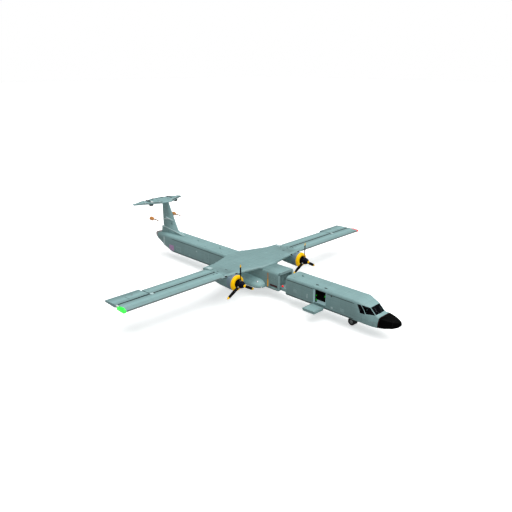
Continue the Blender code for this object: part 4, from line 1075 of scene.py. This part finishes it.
dress("fin", ["tail"], smooth=30)
dress("rudder", ["tail"], smooth=50)
dress("tailplane", ["tailplane"], smooth=40)
for side, word in SIDES:
    dress(f"elevator_{word}", ["tailplane"], smooth=50)
    pod = Vector((-17.24, side * 1.80, 5.18))
    dress(f"probe_{word}", ["orange", "boom", "white"], smooth=60, sort=lambda centre, normal, pod=pod: 1 if
          centre.x > pod.x + 0.52 and abs(centre.y - pod.y) < 0.06 else
          (2 if abs(centre.y) < abs(pod.y) - 0.27 else 0))

bm = bmesh.new()
# Fairing round the fin that carries the probes' struts
COLLAR = ((-14.72, 0.03), (-14.95, 0.16), (-15.35, 0.26), (-15.90, 0.30), (-16.32, 0.26))
COLLAR_SLOPE = -0.155
around = [(x, y) for x, y in COLLAR] + [(x, -y) for x, y in reversed(COLLAR)]
rings = []
for z, grow in ((5.14, 0.5), (5.18, 0.95), (5.27, 1.0), (5.30, 0.9)):
    rings.append([(x, y * grow, z + (x + 16.3) * COLLAR_SLOPE) for x, y in around])
add_faces(bm, rings, 3)
for side in (-1, 1):
    # Pale strips along the foot's upper edge and the fin's nose: painted highlight where these edges face the light
    add_tube(bm, [(-17.18, side * 0.335, 3.915), (-16.2, side * 0.335, 3.915), (-15.4, side * 0.335, 3.835),
                  (-13.8, side * 0.235, 3.575), (-12.85, side * 0.07, 3.33)], 0.055, 8, 3)
    for z in (4.45, 5.75, 6.45):
        x = -13.75 - (z - 3.5) * 0.5442
        add_box(bm, (x - 1.10, x - 0.75), (side * 0.120, side * 0.142), (z, z + 0.22), 1)
    # Hinge pods under the tailplane, and dark and white plates on it
    rings = []
    for x, half, low in ((-16.52, 0.03, 7.16), (-16.72, 0.16, 6.98), (-17.05, 0.20, 6.92), (-17.35, 0.15, 7.00),
                         (-17.60, 0.03, 7.14)):
        rings.append([(x, side * 1.95 - half, 7.20), (x, side * 1.95 - half, low + 0.06), (x, side * 1.95, low),
                      (x, side * 1.95 + half, low + 0.06), (x, side * 1.95 + half, 7.20)])
    add_faces(bm, rings, 5)
find_tailplane = skin_finder("tailplane")
for side in (-1, 1):
    for x, y, long, wide, key, only in (
            (-18.42, 0.18, 0.34, 0.16, 2, 0), (-18.40, 1.36, 0.40, 0.30, 2, 0), (-17.70, 1.50, 0.70, 0.50, 4, -1),
            (-17.62, 2.42, 0.22, 0.20, 4, 0), (-16.52, 0.95, 0.22, 0.20, 4, 0), (-17.20, 0.80, 0.50, 0.06, 2, 0),
            (-18.60, 3.46, 0.50, 0.035, 2, 0)):
        hit, normal = find_tailplane((x + long / 2, side * y, 9), (0, 0, -1))
        if hit is not None and only in (0, side):
            add_box(bm, (x, x + long), (side * (y - wide / 2), side * (y + wide / 2)), (hit.z - 0.02, hit.z + 0.003), key)
    # Black covers near the rear edge, strips beside the elevators and along the front edge
    hit, normal = find_tailplane((-18.40, side * 0.74, 9), (0, 0, -1))
    add_box(bm, (-18.56, -18.24), (side * 0.58, side * 0.90), (hit.z - 0.03, min(hit.z + 0.07, 7.485)), 6)
    hit, normal = find_tailplane((-18.30, side * 1.70, 9), (0, 0, -1))
    add_box(bm, (-18.52, -17.45), (side * 1.64, side * 1.76), (hit.z - 0.03, min(hit.z + 0.09, 7.485)), 2)
    for back, z, up in ((0.12, 9, -1), (0.22, 5, 1)):
        track = [find_tailplane((-15.86 - 0.664 * (y - 0.6) - back, side * y, z), (0, 0, up))
                 for y in (0.75, 1.4, 2.1, 2.8, 3.6)]
        add_ribbon(bm, [spot for spot in track if spot[0] is not None], 0.17, 0.006, 2)
make_piece("tail_fittings", bm, ["light", "fuselage", "dark", "pale", "white", "deep", "soot"], "airframe",
           smooth=40)

# Sleeves and a knob on each probe's forward boom
for side, word in SIDES:
    bm = bmesh.new()
    boom = Matrix.Translation((-16.62, side * 1.80, 5.18))
    add_turned(bm, [(0.00, 0.080), (0.34, 0.062), (0.36, 0.052), (0.62, 0.052), (0.63, 0.080), (0.74, 0.080),
                    (0.75, 0.046), (0.86, 0.040)], boom, 0, 16)
    make_piece(f"probe_sleeve_{word}", bm, ["boom"], "airframe", smooth=40)

# Elevators: tab outline, horn plate and discharge wicks
for side, word in SIDES:
    find_elevator = skin_finder(f"elevator_{word}")
    bm = bmesh.new()
    for x, y, long, wide in ((-18.86, 2.25, 0.05, 0.55), (-18.62, 2.50, 0.28, 0.04), (-18.72, 2.00, 0.22, 0.04),
                             (-18.45, 2.70, 0.05, 0.50)):
        hit, normal = find_elevator((x + long / 2, side * y, 9), (0, 0, -1))
        if hit is not None:
            add_box(bm, (x, x + long), (side * (y - wide / 2), side * (y + wide / 2)), (hit.z - 0.02, hit.z + 0.006), 0)
    for y in (2.1, 2.6, 3.1):
        hit, normal = find_elevator((-20, side * y, 7.34 - 0.0625 * (y - 0.6)), (1, 0, 0))
        if hit is not None:
            add_tube(bm, [hit + Vector((0.02, 0, 0)), hit + Vector((-0.10, 0, 0))], 0.006, 5, 0)
    make_piece(f"elevator_fittings_{word}", bm, ["dark"], f"elevator_{word}")

bm = bmesh.new()
for side in (-1, 1):
    for z in (4.5, 5.1, 5.7, 6.3, 6.8):
        add_box(bm, (-17.10, -16.55), (side * 0.02, side * 0.085), (z - 0.012, z + 0.012), 0,
                Matrix.Rotation(side * math.radians(4.5), 4, "Z"))
add_tube(bm, [(-16.70, 0.10, 4.62), (-17.02, 0.07, 4.62)], 0.012, 6, 1)
for z in (4.3, 5.0, 5.7, 6.4):
    add_tube(bm, [(-17.18, 0, z), (-17.34, 0, z)], 0.006, 5, 1)
make_piece("rudder_fittings", bm, ["light", "dark"], "rudder")


# Landing gear

ALONG_Y = Matrix.Rotation(math.pi / 2, 4, "Z")


def add_wheel(bm, centre, radius, half, rim):
    """A grooved tyre on a dished rim with bolts, its axle along Y."""
    place = Matrix.Translation(centre) @ ALONG_Y
    tread = [(-half * 0.62, radius * 0.985), (-half * 0.36, radius), (-half * 0.32, radius * 0.965),
             (-half * 0.20, radius * 0.965), (-half * 0.16, radius), (half * 0.16, radius),
             (half * 0.20, radius * 0.965), (half * 0.32, radius * 0.965), (half * 0.36, radius),
             (half * 0.62, radius * 0.985)]
    shoulder = [(half * 0.86, radius * 0.94), (half * 0.985, radius * 0.84), (half * 0.99, radius * 0.74),
                (half * 0.86, rim * 1.02), (half * 0.70, rim * 0.97)]
    profile = [(-x, r) for x, r in reversed(shoulder)] + tread + shoulder
    add_turned(bm, profile, place, 0, 64, closed=True)
    disc = [(-half * 0.80, rim), (-half * 0.80, rim * 0.93), (-half * 0.35, rim * 0.84), (-half * 0.30, rim * 0.45),
            (-half * 0.70, rim * 0.40), (-half * 0.76, rim * 0.24), (half * 0.76, rim * 0.24),
            (half * 0.70, rim * 0.40), (half * 0.30, rim * 0.45), (half * 0.35, rim * 0.84),
            (half * 0.80, rim * 0.93), (half * 0.80, rim)]
    add_turned(bm, disc, place, 1, 40, closed=True)
    for face in (-1, 1):
        for step in range(8):
            angle = 2 * math.pi * step / 8
            at = Vector((face * half * 0.30, rim * 0.62 * math.cos(angle), rim * 0.62 * math.sin(angle)))
            add_cylinder(bm, place @ at, place @ (at + Vector((face * 0.022, 0, 0))), rim * 0.055, sides=6, index=2)


for side, word in SIDES:
    bm = bmesh.new()
    for y in (side * 1.72 - 0.26, side * 1.72 + 0.26):
        add_wheel(bm, (-0.95, y, 0.5), 0.498, 0.129, 0.27)
    add_cylinder(bm, (-0.95, side * 1.72 - 0.34, 0.5), (-0.95, side * 1.72 + 0.34, 0.5), 0.066, index=2)
    make_piece(f"main_wheels_{word}_fine", bm, ["rubber", "rim", "steel"], f"main_wheels_{word}", smooth=35,
               replaces=[f"main_wheels_{word}"])
    dress(f"main_leg_{word}", ["steel"], smooth=40)
    bm = bmesh.new()
    y = side * 1.72
    add_turned(bm, [(0.98 - 0.5, 0.094), (1.10 - 0.5, 0.112), (1.50 - 0.5, 0.112), (1.56 - 0.5, 0.10)],
               Matrix.Translation((-0.95, y, 0.5)) @ UP, 0, 28)
    # Torque link
    for start, end in (((-1.00, 0.64), (-1.20, 0.86)), ((-1.20, 0.88), (-1.02, 1.10))):
        for across in (-0.035, 0.035):
            add_cylinder(bm, (start[0], y + across, start[1]), (end[0], y + across * 0.4, end[1]), 0.022, index=1,
                         sides=10)
    add_tube(bm, [(-0.87, y + 0.08, 1.52), (-0.85, y + 0.09, 1.1), (-0.80, y + 0.10, 0.85), (-0.86, y + 0.07, 0.60)],
             0.010, 6, 2)
    for step in (-1, 1):
        add_cylinder(bm, (-0.95, y + step * 0.098, 0.5), (-0.95, y + step * 0.118, 0.5), 0.15, index=1)
    make_piece(f"main_leg_{word}_fittings", bm, ["rim", "steel", "dark"], "airframe", bevel=0.004)

bm = bmesh.new()
for y in (-0.20, 0.20):
    add_wheel(bm, (14.02, y, 0.41), 0.408, 0.109, 0.20)
add_cylinder(bm, (14.02, -0.28, 0.41), (14.02, 0.28, 0.41), 0.048, index=2)
make_piece("nose_wheels_fine", bm, ["rubber", "rim", "steel"], "nose_wheels", smooth=35,
           replaces=["nose_wheels"])
dress("nose_strut", ["chrome"])
dress("nose_fork", ["steel"])

# Lamps on the sponsons' noses
bm = bmesh.new()
for side, word in SIDES:
    find_sponson = skin_finder(f"sponson_{word}")
    for y, z, radius in ((1.75, 1.80, 0.09), (1.75, 1.30, 0.06)):
        hit, normal = find_sponson((6, side * y, 6 if z > 1.5 else z), (-0.85, 0, -1) if z > 1.5 else (-1, 0, 0))
        at = Matrix.Translation(hit) @ Vector((1, 0, 0)).rotation_difference(
            (normal + Vector((1.2, 0, 0))).normalized()).to_matrix().to_4x4()
        add_turned(bm, [(-0.08, radius * 1.15), (0.012, radius * 1.15), (0.014, radius)], at, 0, 24)
        add_dome(bm, at @ Matrix.Translation((0.010, 0, 0)), radius, 0.025, 1)
make_piece("landing_lamps", bm, ["steel", "white_lamp"], "airframe")
